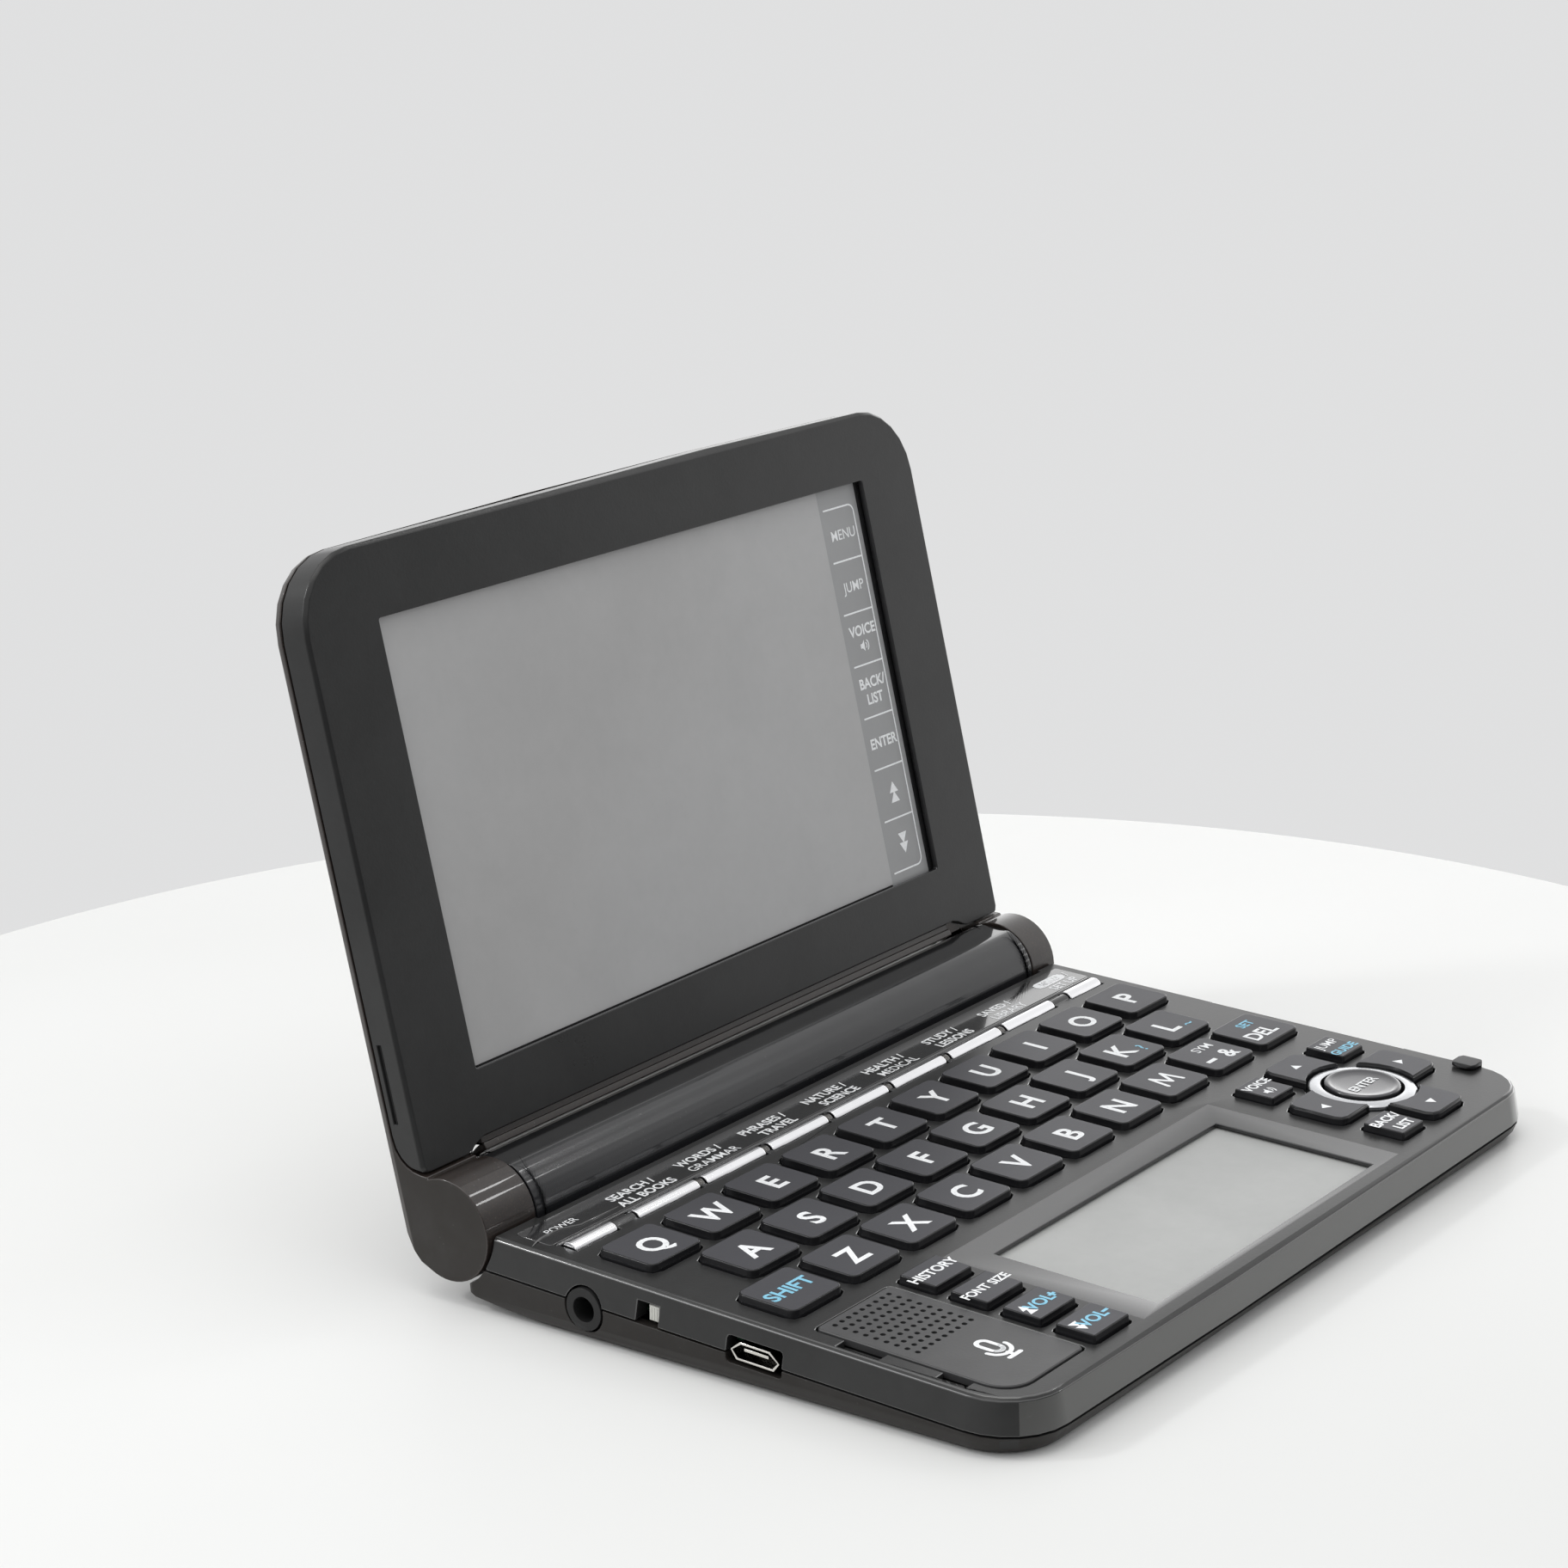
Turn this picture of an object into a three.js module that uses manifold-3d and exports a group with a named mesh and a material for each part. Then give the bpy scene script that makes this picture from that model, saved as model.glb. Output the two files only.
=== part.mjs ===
// Electronic dictionary: a clamshell with a keyboard, a small pen panel and a battery barrel
// at the hinge. Millimetres, +Z up, standing on z = 0.
// The base is laid out in the deck's own frame: its origin is the middle of the deck's top face,
// +X runs to the right, +Y to the hinge. The lid is laid out as it lies when closed, with its
// origin on the hinge line, and is then turned open.

import * as THREE from 'three';
import { mergeVertices } from 'three/addons/utils/BufferGeometryUtils.js';
import Module from 'manifold-3d';

const wasm = await Module();
wasm.setup();

const { degToRad } = THREE.MathUtils;

// Whole object
const caseWidth = 148;
const caseFlare = 1;
const deckDepth = 89.2;
const wedgeAngle = degToRad(2.4);
const frontThickness = 8.2;
const openAngle = degToRad(104);
const clearance = 0.3;
const overrun = 1;

const deckWidth = caseWidth - 2 * caseFlare;
const deckEdge = deckWidth / 2;
const deckRim = deckDepth / 2;

// Base casing; the rear lengths are measured from the deck's rear edge line
const seamDrop = 5.2;
const deckThickness = 2;
const sideWall = 1.8;
const caseCornerRadius = 9;
const rearCornerRadius = 1.5;
const frontBow = 0.6;
const edgeBreak = 0.4;
const deckOverhang = 1.6;
const upperOverhang = 4.4;
const tailOverhang = 7.4;
const rearGrooveDepth = 1.2;
const tailKickRun = 16;
const tailKickRise = 2.4;
const bottomRound = 2.6;
const bottomWall = 1.6;
const cavityInset = 0.2;
const tailFoot = { radius: 4, height: 2.4, overhang: 1.3, share: 0.66 };

// Hinge and battery barrel
const barrelRadius = 7.9;
const barrelWall = 0.7;
const barrelGroove = 1.05;
const hingeDrop = 0.85;
const leftKnuckle = 11;
const rightKnuckle = 7;
const barrelEndWall = 1.6;
const hingePinRadius = 2.4;
const hingePinLength = 4;
const hingePinClearance = 0.08;
const knuckleGap = 0.45;
const upperArc = { from: 48, to: 192 };
const lowerArc = { from: 194.5, to: 405.5 };
const coverArc = { from: 237, to: 325 };
const coverInset = 13;
const coverArcGap = 2.5;
const coverThumb = { width: 12, depth: 0.35, arc: 29 };

const deckRear = deckRim + deckOverhang;
const hingeY = deckRear + barrelGroove + barrelRadius;
const barrelLeft = caseWidth / 2 - leftKnuckle;
const barrelRight = caseWidth / 2 - rightKnuckle;
const barrelLength = barrelLeft + barrelRight;

// Battery cells; the contact room is what is left of the barrel's length for the springs
const cellClearance = 0.2;
const cellContact = 4.8;
const contactRoom = 26;
const cellNubRadius = 2.7;
const cellNubLength = 1.1;

// Lid
const bezelRise = 2.05;
const bezelThickness = 4.9;
const lidThickness = 7.4;
const bezelSetback = 2.2;
const coverSetback = 0.6;
const lidSeam = 0.3;
const coverRearWall = 1.3;
const coverRearRise = 1.25;
const coverLip = { thickness: 1.2, top: 128, earFoot: 140, foot: 162 };
const lidCornerRadius = 11.8;
const lidRearCornerRadius = 1.2;
const coverRound = 2;
const bezelSlope = 0.5;
const earWidth = 9;
const earSlope = 4.5;
const earReach = 1.8;
const knuckleCrown = { start: 40, steer: 3.6, lean: 1.4, rear: 6.5 };
const knuckleSeam = { start: 168, reach: 14, bend: 4.2, rise: 2.5, lean: 0.4 };
const lidSlot = { length: 12, height: 0.8, depth: 0.6, rear: 28, rise: 3.2 };

const lidWidth = caseWidth;
const lidDepth = deckDepth;
const bezelRear = barrelRadius + bezelSetback;
const coverRear = barrelRadius + coverSetback;

// Display: the margins are the bezel's visible widths
const screenSideMargin = 14.8;
const screenRearMargin = 9.8;
const screenFrontMargin = 11.3;
const screenSink = 1.3;
const screenLap = 2.2;
const displayThickness = 3.6;

const screenWidth = lidWidth - 2 * screenSideMargin;
const screenDepth = lidDepth - screenRearMargin - screenFrontMargin;

// Letter keys: rows lie at shares of the deck's depth
const keyMargin = 2.85;
const keyGap = 2.13;
const keyDepthShare = 0.12;
const keyTaper = 0.2;
const keyBreak = 0.25;
const keyCorner = 1.8;
const keyRise = 0.8;
const keyFlange = 0.55;
const keyFlangeThickness = 0.6;
const keyRows = [
  { share: 0.2892, names: [...'QWERTYUIOP'].map((letter) => `key_${letter}`) },
  { share: 0.1497, names: [...'ASDFGHJKL'].map((letter) => `key_${letter}`) },
  {
    share: 0.0101,
    names: ['key_shift', ...[...'ZXCVBNM'].map((letter) => `key_${letter}`), 'key_symbol', 'key_delete'],
  },
];

const keyPitch = (deckWidth - 2 * keyMargin) / keyRows[0].names.length;
const keyWidth = keyPitch - keyGap;
const keyDepth = deckDepth * keyDepthShare;

// Chrome function keys along the hinge, with dark spacer bars between them
const functionKeyCount = 7;
const functionKeyShare = 0.4025;
const functionKeyGap = 1.75;
const functionRowMargin = 17.175;
const functionKeyRadius = 1.45;
const functionKeyCrown = 0.75;
const endKeyInset = 8.4;
const endKeyLength = 9.3;
const spacerRadius = 1.15;
const spacerCrown = 0.45;

const functionKeyY = deckDepth * functionKeyShare;
const functionKeyPitch = (deckWidth - 2 * functionRowMargin) / functionKeyCount;
const functionKeyLength = functionKeyPitch - functionKeyGap;

// Side keys beside the pen panel
const sideKeyCount = 4;
const sideKeyInset = 26.8;
const sideKeyWidth = 9.2;
const sideKeyGap = 1.85;
const sideKeyShare = -0.1323;
const sideKeyPitchShare = 0.097;
const smallKeyCorner = 0.7;

// Cursor cluster: all its sizes are shares of the reach of the lobes
const lobeReachShare = 0.1738;
const clusterShare = -0.2814;
const clusterMargin = 5.1;
const ringOuterShare = 0.558;
const ringInnerShare = 0.4226;
const enterShare = 0.3935;
const lobeWidthShare = 0.671;
const cornerKeyShares = { width: 0.4516, depth: 0.4774 };
const cornerKeys = [
  { name: 'key_voice', acrossShare: -0.71, alongShare: 0.742 },
  { name: 'key_jump', acrossShare: 0.755, alongShare: 0.748 },
  { name: 'key_back', acrossShare: -0.735, alongShare: -0.748 },
];
const lobeCorner = 1.8;
const lobeRise = 1;
const ringRise = 0.6;
const ringSlope = 0.9;
const enterDish = 0.4;
const hubDrop = 1.3;

const lobeReach = deckDepth * lobeReachShare;
const lobeWidth = lobeReach * lobeWidthShare;
const ringOuter = lobeReach * ringOuterShare;
const ringInner = lobeReach * ringInnerShare;
const enterRadius = lobeReach * enterShare;
const cursorX = deckEdge - clusterMargin - lobeReach;
const cursorY = deckDepth * clusterShare;

// Pen panel in the deck, between the side keys and the cursor cluster
const panelLeftInset = 39.45;
const panelRightGap = 14.35;
const panelShare = -0.3;
const panelDepthShare = 0.306;
const panelSink = 1.5;
const panelLap = 1.2;
const panelThickness = 1.8;
const panelBevel = { left: 6.6, right: 4.7, front: 1.8, rear: 4.4, drop: 0.6 };
const panelLip = 0.6;

const panelLeft = panelLeftInset - deckEdge;
const panelRight = deckEdge - 2 * lobeReach - panelRightGap;
const panelFront = deckDepth * (panelShare - panelDepthShare / 2);
const panelRear = deckDepth * (panelShare + panelDepthShare / 2);

// Speaker cover at the front left
const speakerInset = 11.9;
const speakerWidth = 17.2;
const speakerShare = -0.2747;
const speakerDepthShare = 0.361;
const speakerCorner = 1;
const speakerFrontCorner = 4.6;
const speakerRise = 0.2;
const speakerPocket = 1.2;
const speakerLedge = 1.6;
const soundHole = { pitch: 1.56, rowPitch: 1.72, radius: 0.42, columns: 9, rows: 9, rearMargin: 1.6 };
const micHoleRadius = 0.45;
const micHoleInset = 9.6;

const speakerX = speakerInset - deckEdge;
const speakerFront = deckDepth * (speakerShare - speakerDepthShare / 2);
const speakerRear = deckDepth * (speakerShare + speakerDepthShare / 2);

// Strap slot beside the speaker cover: two mouths in the deck, joined by a passage under a bar
const strapSlot = {
  rearInset: 5.2, rearMouth: 7.1, frontInset: 6, frontMouth: 4.8, wall: 0.9, width: 2.2, depth: 2.9,
  roof: 0.9, floor: 0.9, border: 1,
};
const strapOuter = strapSlot.wall - deckEdge;
const strapInner = strapOuter + strapSlot.width;
const strapFront = speakerFront + strapSlot.frontInset;
const strapRear = speakerRear - strapSlot.rearInset;

// Sockets and switch in the left side, placed by shares of the deck's depth
const jackShare = 0.3285;
const jackBelowSeam = 0.9;
const jackCollarRadius = 3.2;
const jackBoreRadius = 1.9;
const jackLength = 11;
const jackBodyRadius = 2.3;
const usbShare = -0.0115;
const usb = {
  aboveSeam: 0.55, width: 8.5, height: 2.8, topShare: 0.61, footShare: 0.76, depth: 4.2, wall: 0.35,
  tongue: 0.5, hole: 0.55,
};
const switchShare = 0.1996;
const slideSwitch = { length: 4, height: 3, drop: 2.1, sink: 0.9 };
const slider = { length: 1.9, shoe: 1.1 };

const jackY = deckDepth * jackShare;
const jackDrop = seamDrop + jackBelowSeam;
const usbY = deckDepth * usbShare;
const usbDrop = seamDrop - usb.aboveSeam;
const switchY = deckDepth * switchShare;

// Stylus in the right side
const stylus = { inset: 1.25, width: 1.7, height: 2.7, aboveSeam: 1.8, tip: 7, tipShare: 0.45 };
const stylusRearShare = 0.4036;
const stylusFrontShare = -0.3991;
const stylusTab = {
  width: 4.6, length: 4.2, rise: 0.9, lift: 0.2, side: 1, neck: 1.4, corner: 0.4, round: 1.3,
};
const stylusSlit = { inset: 0.7, width: 0.5, rearShare: 0.1626, frontShare: -0.2422 };
const stylusClearance = 0.25;

const stylusX = deckEdge - stylus.inset;
const stylusDrop = seamDrop - stylus.aboveSeam;
const stylusRear = deckDepth * stylusRearShare;
const stylusFront = deckDepth * stylusFrontShare;
const slitX = deckEdge - stylusSlit.inset;

// Circuit board
const boardDrop = 4.1;
const boardThickness = 1.2;
const boardMargin = 3.2;
const boardRearMargin = 3.1;
const bossRadius = 2.4;
const bossShares = [[-0.8, -0.7], [0.8, -0.7], [-0.8, 0.7], [0.8, 0.7], [0, 0.7]];

// Facets
const smallArc = 2;
const wideArc = 6;
const barrelFacets = 48;
const roundFacets = 28;
const holeFacets = 6;

const finishes = {
  charcoal: { color: 0x2b2b2d, roughness: 0.6, metalness: 0 },
  brown: { color: 0x2e2320, roughness: 0.2, metalness: 0.3 },
  keycap: { color: 0x2c2d31, roughness: 0.5, metalness: 0 },
  chrome: { color: 0xd8d8da, roughness: 0.12, metalness: 1 },
  silver: { color: 0xc2c3c6, roughness: 0.35, metalness: 0.8 },
  lcd: { color: 0x74767a, roughness: 0.15, metalness: 0 },
  penPanel: { color: 0xb8bab8, roughness: 0.3, metalness: 0 },
  black: { color: 0x151515, roughness: 0.45, metalness: 0 },
  slider: { color: 0xd9d9d4, roughness: 0.4, metalness: 0 },
  board: { color: 0x1f4a2c, roughness: 0.6, metalness: 0 },
  cell: { color: 0x8b9096, roughness: 0.4, metalness: 0.4 },
};

// Heights and places that follow from the sizes above
const seamZ = -seamDrop;
const hingeZ = -hingeDrop;
const keyFlangeTop = -deckThickness - clearance;
const keyBottom = keyFlangeTop - keyFlangeThickness;
const wedgeSlope = Math.tan(wedgeAngle);
const tableZ = (y) => -frontThickness - (y + deckRim) * wedgeSlope;
const turnRadius = barrelRadius + knuckleGap;
const boreRadius = barrelRadius - barrelWall;
const bezelTop = bezelRise + bezelThickness;
const lidTop = bezelRise + lidThickness;
const lidFlange = bezelTop + lidSeam;
const displayFace = bezelRise + screenSink;
const screenCentreY = -bezelRear - screenRearMargin - screenDepth / 2;
const stylusTabRear = stylusFront + stylusTab.length;
const stylusTabSide = caseWidth / 2 - stylusTab.side;
const stylusNeckBottom = -stylusDrop - stylusTab.neck / 2;
const stylusNeckTop = -stylusDrop + stylusTab.neck / 2;

// Outlines: lists of points, counter-clockwise, without a repeated last point

const point = (x, y) => new THREE.Vector2(x, y);

function arcPoints(x, y, radius, from, to, steps) {
  return Array.from({ length: steps + 1 }, (_, step) => {
    const angle = degToRad(from + ((to - from) * step) / steps);
    return point(x + radius * Math.cos(angle), y + radius * Math.sin(angle));
  });
}

function circlePoints(radius, facets, x = 0, y = 0) {
  return arcPoints(x, y, radius, 0, 360, facets).slice(0, -1);
}

function boxPoints(left, right, front, rear) {
  return [point(left, front), point(right, front), point(right, rear), point(left, rear)];
}

function roundedBox(x, y, width, depth, radius, steps = smallArc) {
  const across = width / 2 - radius;
  const along = depth / 2 - radius;
  return [
    ...arcPoints(x - across, y - along, radius, 180, 270, steps),
    ...arcPoints(x + across, y - along, radius, 270, 360, steps),
    ...arcPoints(x + across, y + along, radius, 0, 90, steps),
    ...arcPoints(x - across, y + along, radius, 90, 180, steps),
  ];
}

// The casing's plan: round front corners, a bowed front edge, and nearly square rear corners.
function casingPoints(halfWidth, front, rear, corner, rearCorner, bow) {
  const straight = halfWidth - corner;
  const bowed = Array.from({ length: wideArc - 1 }, (_, step) => {
    const share = (2 * (step + 1)) / wideArc - 1;
    return point(straight * share, front - bow * (1 - share * share));
  });
  return [
    ...arcPoints(rearCorner - halfWidth, rear - rearCorner, rearCorner, 90, 180, smallArc),
    ...arcPoints(-straight, front + corner, corner, 180, 270, wideArc),
    ...bowed,
    ...arcPoints(straight, front + corner, corner, 270, 360, wideArc),
    ...arcPoints(halfWidth - rearCorner, rear - rearCorner, rearCorner, 0, 90, smallArc),
  ];
}

function sectorPoints(inner, outer, arc) {
  const steps = Math.round(((arc.to - arc.from) * barrelFacets) / 360);
  return [
    ...arcPoints(0, 0, outer, arc.from, arc.to, steps),
    ...arcPoints(0, 0, inner, arc.to, arc.from, steps),
  ];
}

// Solids

// The same solid with its coordinates turned one place round, so z becomes x, or z becomes y.
function cycled(geometry, turns) {
  const matrix = new THREE.Matrix4().set(0, 0, 1, 0, 1, 0, 0, 0, 0, 1, 0, 0, 0, 0, 0, 1);
  for (let turn = 0; turn < turns; turn += 1) geometry.applyMatrix4(matrix);
  return geometry;
}

// A closed surface through rings of equally many points, from the lowest ring to the highest.
function loftGeometry(rings) {
  const count = rings[0].length;
  const index = [];
  for (let ring = 0; ring + 1 < rings.length; ring += 1) {
    for (let side = 0; side < count; side += 1) {
      const low = ring * count;
      const next = (side + 1) % count;
      index.push(low + side, low + next, low + count + next);
      index.push(low + side, low + count + next, low + count + side);
    }
  }
  const cap = (ring, start, up) => {
    for (const face of THREE.ShapeUtils.triangulateShape(ring.map(({ x, y }) => point(x, y)), [])) {
      const [a, b, c] = face.map((corner) => ring[corner]);
      const turn = (b.x - a.x) * (c.y - a.y) - (b.y - a.y) * (c.x - a.x);
      const ordered = turn > 0 === up ? face : [face[2], face[1], face[0]];
      index.push(...ordered.map((corner) => start + corner));
    }
  };
  cap(rings[0], 0, false);
  cap(rings.at(-1), (rings.length - 1) * count, true);
  const geometry = new THREE.BufferGeometry();
  const positions = rings.flat().flatMap(({ x, y, z }) => [x, y, z]);
  geometry.setAttribute('position', new THREE.Float32BufferAttribute(positions, 3));
  geometry.setIndex(index);
  return geometry;
}

function solid(geometry) {
  geometry.deleteAttribute('normal');
  geometry.deleteAttribute('uv');
  const merged = mergeVertices(geometry);
  const vertProperties = new Float32Array(merged.attributes.position.array);
  const triVerts = new Uint32Array(merged.index.array);
  return new wasm.Manifold(new wasm.Mesh({ numProp: 3, vertProperties, triVerts }));
}

const atHeight = (points, height) => points.map(({ x, y }) => {
  const z = typeof height === 'function' ? height(y) : height;
  return new THREE.Vector3(x, y, z);
});
const loft = (...rings) => solid(loftGeometry(rings));
const prism = (points, bottom, top) => loft(atHeight(points, bottom), atHeight(points, top));
const block = (left, right, front, rear, bottom, top) => prism(boxPoints(left, right, front, rear), bottom, top);

// A profile in Y and Z, drawn along X.
function alongX(points, left, right) {
  return solid(cycled(loftGeometry([atHeight(points, left), atHeight(points, right)]), 1));
}

// A profile in Z and X, drawn along Y.
function alongY(points, front, rear) {
  return solid(cycled(loftGeometry([atHeight(points, front), atHeight(points, rear)]), 2));
}

const join = (...parts) => parts.reduce((whole, part) => whole.add(part));
const cut = (body, ...tools) => tools.reduce((rest, tool) => rest.subtract(tool), body);
const moved = (points, x, y) => points.map((place) => point(place.x + x, place.y + y));

const model = new THREE.Group();
const deck = new THREE.Group();
const lid = new THREE.Group();
model.add(deck);
deck.add(lid);

function addNode(group, name, body, finish) {
  const { numProp, vertProperties, triVerts } = body.getMesh();
  const geometry = new THREE.BufferGeometry();
  const vertices = vertProperties.length / numProp;
  const positions = new Float32Array(vertices * 3);
  for (let vertex = 0; vertex < vertices; vertex += 1) {
    positions.set(vertProperties.subarray(vertex * numProp, vertex * numProp + 3), vertex * 3);
  }
  geometry.setAttribute('position', new THREE.BufferAttribute(positions, 3));
  geometry.setIndex(new THREE.BufferAttribute(triVerts, 1));
  geometry.computeVertexNormals();
  const mesh = new THREE.Mesh(geometry, new THREE.MeshStandardMaterial(finishes[finish]));
  mesh.name = name;
  group.add(mesh);
}

// Keys: each cap narrows upwards, has a broken top edge, and a flange that holds it under the deck

function keyCap({ x, y, width, depth, corner, rise }) {
  const ring = (grow, z) => atHeight(
    roundedBox(x, y, width + 2 * grow, depth + 2 * grow, corner + Math.max(grow, -corner / 2)),
    z,
  );
  return loft(
    ring(keyFlange, keyBottom),
    ring(keyFlange, keyFlangeTop),
    ring(0, keyFlangeTop),
    ring(-keyTaper / 2, rise - keyBreak),
    ring(-keyTaper / 2 - keyBreak, rise),
  );
}

function keyOpening({ x, y, width, depth, corner }) {
  const outline = roundedBox(x, y, width + 2 * clearance, depth + 2 * clearance, corner + clearance);
  return prism(outline, -deckThickness - overrun, overrun);
}

function letterKeys() {
  return keyRows.flatMap(({ share, names }) => names.map((name, place) => ({
    name,
    x: (place - (names.length - 1) / 2) * keyPitch,
    y: deckDepth * share,
    width: keyWidth,
    depth: keyDepth,
    corner: keyCorner,
    rise: keyRise,
  })));
}

function sideKeys() {
  const pitch = deckDepth * sideKeyPitchShare;
  return Array.from({ length: sideKeyCount }, (_, place) => ({
    name: `side_key_${place + 1}`,
    x: sideKeyInset - deckEdge,
    y: deckDepth * sideKeyShare - place * pitch,
    width: sideKeyWidth,
    depth: pitch - sideKeyGap,
    corner: smallKeyCorner,
    rise: keyRise,
  }));
}

function clusterKeys() {
  return cornerKeys.map(({ name, acrossShare, alongShare }) => ({
    name,
    x: cursorX + lobeReach * acrossShare,
    y: cursorY + lobeReach * alongShare,
    width: lobeReach * cornerKeyShares.width,
    depth: lobeReach * cornerKeyShares.depth,
    corner: smallKeyCorner,
    rise: keyRise,
  }));
}

// Function keys: half-round bars that lie across the deck

function barProfile(radius, crown, bottom) {
  const arc = arcPoints(functionKeyY, crown - radius, radius, 0, 180, wideArc + smallArc);
  return [point(functionKeyY - radius, bottom), point(functionKeyY + radius, bottom), ...arc];
}

function functionKeys() {
  const middle = (functionKeyCount - 1) / 2;
  const inner = Array.from({ length: functionKeyCount }, (_, place) => ({
    name: `function_key_${place + 1}`,
    x: (place - middle) * functionKeyPitch,
    length: functionKeyLength,
  }));
  return [
    { name: 'power_key', x: endKeyInset - deckEdge, length: endKeyLength },
    ...inner,
    { name: 'menu_key', x: deckEdge - endKeyInset, length: endKeyLength },
  ];
}

function functionKeyBar({ x, length }) {
  const profile = barProfile(functionKeyRadius, functionKeyCrown, keyBottom);
  return alongX(profile, x - length / 2, x + length / 2);
}

function functionKeyOpening({ x, length }) {
  const half = length / 2 + clearance;
  const reach = functionKeyRadius + clearance;
  return block(
    x - half, x + half, functionKeyY - reach, functionKeyY + reach,
    -deckThickness - overrun, overrun,
  );
}

// The dark half-round spacers that fill the row between one key's opening and the next.
function functionKeySpacers() {
  const profile = barProfile(spacerRadius, spacerCrown, -deckThickness);
  const keys = functionKeys();
  return join(...keys.slice(1).map((key, place) => {
    const before = keys[place];
    return alongX(
      profile, before.x + before.length / 2 + clearance, key.x - key.length / 2 - clearance,
    );
  }));
}

// Cursor cluster: a four-lobed pad, a metal ring lying on its hub, and a round key in the middle

function lobeCross(grow, steps) {
  const reach = 2 * (lobeReach + grow);
  const width = lobeWidth + 2 * grow;
  const corner = lobeCorner + grow;
  return [
    roundedBox(cursorX, cursorY, reach, width, corner, steps),
    roundedBox(cursorX, cursorY, width, reach, corner, steps),
  ];
}

function lobedSolid(grow, bottom, top) {
  return join(...lobeCross(grow, smallArc).map((outline) => prism(outline, bottom, top)));
}

function clusterDisc(radius, bottom, top) {
  return prism(circlePoints(radius, roundFacets, cursorX, cursorY), bottom, top);
}

function cursorPad() {
  const lobes = join(
    lobedSolid(0, keyBottom, lobeRise - keyBreak),
    lobedSolid(-keyBreak, lobeRise - 2 * keyBreak, lobeRise),
  );
  const flange = lobedSolid(keyFlange, keyBottom, keyFlangeTop);
  const hub = clusterDisc(ringOuter + clearance, keyBottom, -hubDrop);
  return cut(
    join(lobes, flange, hub),
    clusterDisc(ringOuter + clearance, -hubDrop, lobeRise + overrun),
    clusterDisc(enterRadius + clearance, keyBottom - overrun, lobeRise + overrun),
  );
}

function cursorRing() {
  const bottom = clearance - hubDrop;
  const rounded = (radius, grow, z) => atHeight(
    circlePoints(radius + grow, roundFacets, cursorX, cursorY),
    z,
  );
  const outside = loft(
    rounded(ringOuter, 0, bottom),
    rounded(ringOuter, 0, ringRise - keyBreak),
    rounded(ringOuter, -ringSlope, ringRise),
  );
  return cut(outside, clusterDisc(ringInner, bottom - overrun, ringRise + overrun));
}

function enterKey() {
  const ring = (radius, z) => atHeight(circlePoints(radius, roundFacets, cursorX, cursorY), z);
  const dish = loft(
    ring(enterRadius / 4, keyRise - enterDish),
    ring(enterRadius - 3 * keyBreak, keyRise + keyBreak),
  );
  const cap = loft(
    ring(enterRadius, keyBottom),
    ring(enterRadius, keyRise - keyBreak),
    ring(enterRadius - keyBreak, keyRise),
  );
  return cut(cap, dish);
}

function cursorOpening() {
  return join(
    lobedSolid(clearance, -deckThickness - overrun, overrun),
    clusterDisc(ringOuter + 2 * clearance, -deckThickness - overrun, overrun),
  );
}

// Pen panel and its bevelled recess

function penPanel() {
  const outline = boxPoints(
    panelLeft - panelLap, panelRight + panelLap, panelFront - panelLap, panelRear + panelLap,
  );
  return prism(outline, -panelSink - panelThickness, -panelSink);
}

function penPanelRecess() {
  const floor = boxPoints(panelLeft, panelRight, panelFront, panelRear);
  const rim = boxPoints(
    panelLeft - panelBevel.left, panelRight + panelBevel.right,
    panelFront - panelBevel.front, panelRear + panelBevel.rear,
  );
  const lap = panelLap + clearance;
  return join(
    loft(atHeight(floor, -panelBevel.drop), atHeight(rim, 0), atHeight(rim, overrun)),
    prism(floor, -deckThickness - overrun, -panelBevel.drop),
    block(
      panelLeft - lap, panelRight + lap, panelFront - lap, panelRear + lap,
      -deckThickness - overrun, -panelBevel.drop - panelLip,
    ),
  );
}

// Speaker cover: a thin plate in a pocket of the deck, with rows of sound holes

function speakerOutline(grow) {
  const left = speakerX - speakerWidth / 2 - grow;
  const right = speakerX + speakerWidth / 2 + grow;
  const front = speakerFront - grow;
  const rear = speakerRear + grow;
  const radius = speakerCorner;
  const large = speakerFrontCorner;
  return [
    ...arcPoints(left + large, front + large, large, 180, 270, wideArc),
    ...arcPoints(right - radius, front + radius, radius, 270, 360, smallArc),
    ...arcPoints(right - radius, rear - radius, radius, 0, 90, smallArc),
    ...arcPoints(left + radius, rear - radius, radius, 90, 180, smallArc),
  ];
}

function soundHoles() {
  const holes = [];
  for (let row = 0; row < soundHole.rows; row += 1) {
    for (let column = 0; column < soundHole.columns; column += 1) {
      const x = speakerX + (column - (soundHole.columns - 1) / 2) * soundHole.pitch;
      const y = speakerRear - soundHole.rearMargin - row * soundHole.rowPitch;
      const outline = circlePoints(soundHole.radius, holeFacets, x, y);
      holes.push(prism(outline, -deckThickness, speakerRise + overrun));
    }
  }
  return join(...holes);
}

function speakerCover() {
  const plate = prism(speakerOutline(0), clearance - speakerPocket, speakerRise);
  const micHole = prism(
    circlePoints(micHoleRadius, holeFacets, speakerX, speakerFront + micHoleInset),
    -deckThickness, speakerRise + overrun,
  );
  return cut(plate, soundHoles(), micHole);
}

function speakerSeat() {
  return join(
    prism(speakerOutline(clearance), -speakerPocket, overrun),
    prism(speakerOutline(-speakerLedge), -deckThickness - overrun, overrun),
  );
}

// Strap slot: two mouths in the deck and the passage under the bar between them

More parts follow.
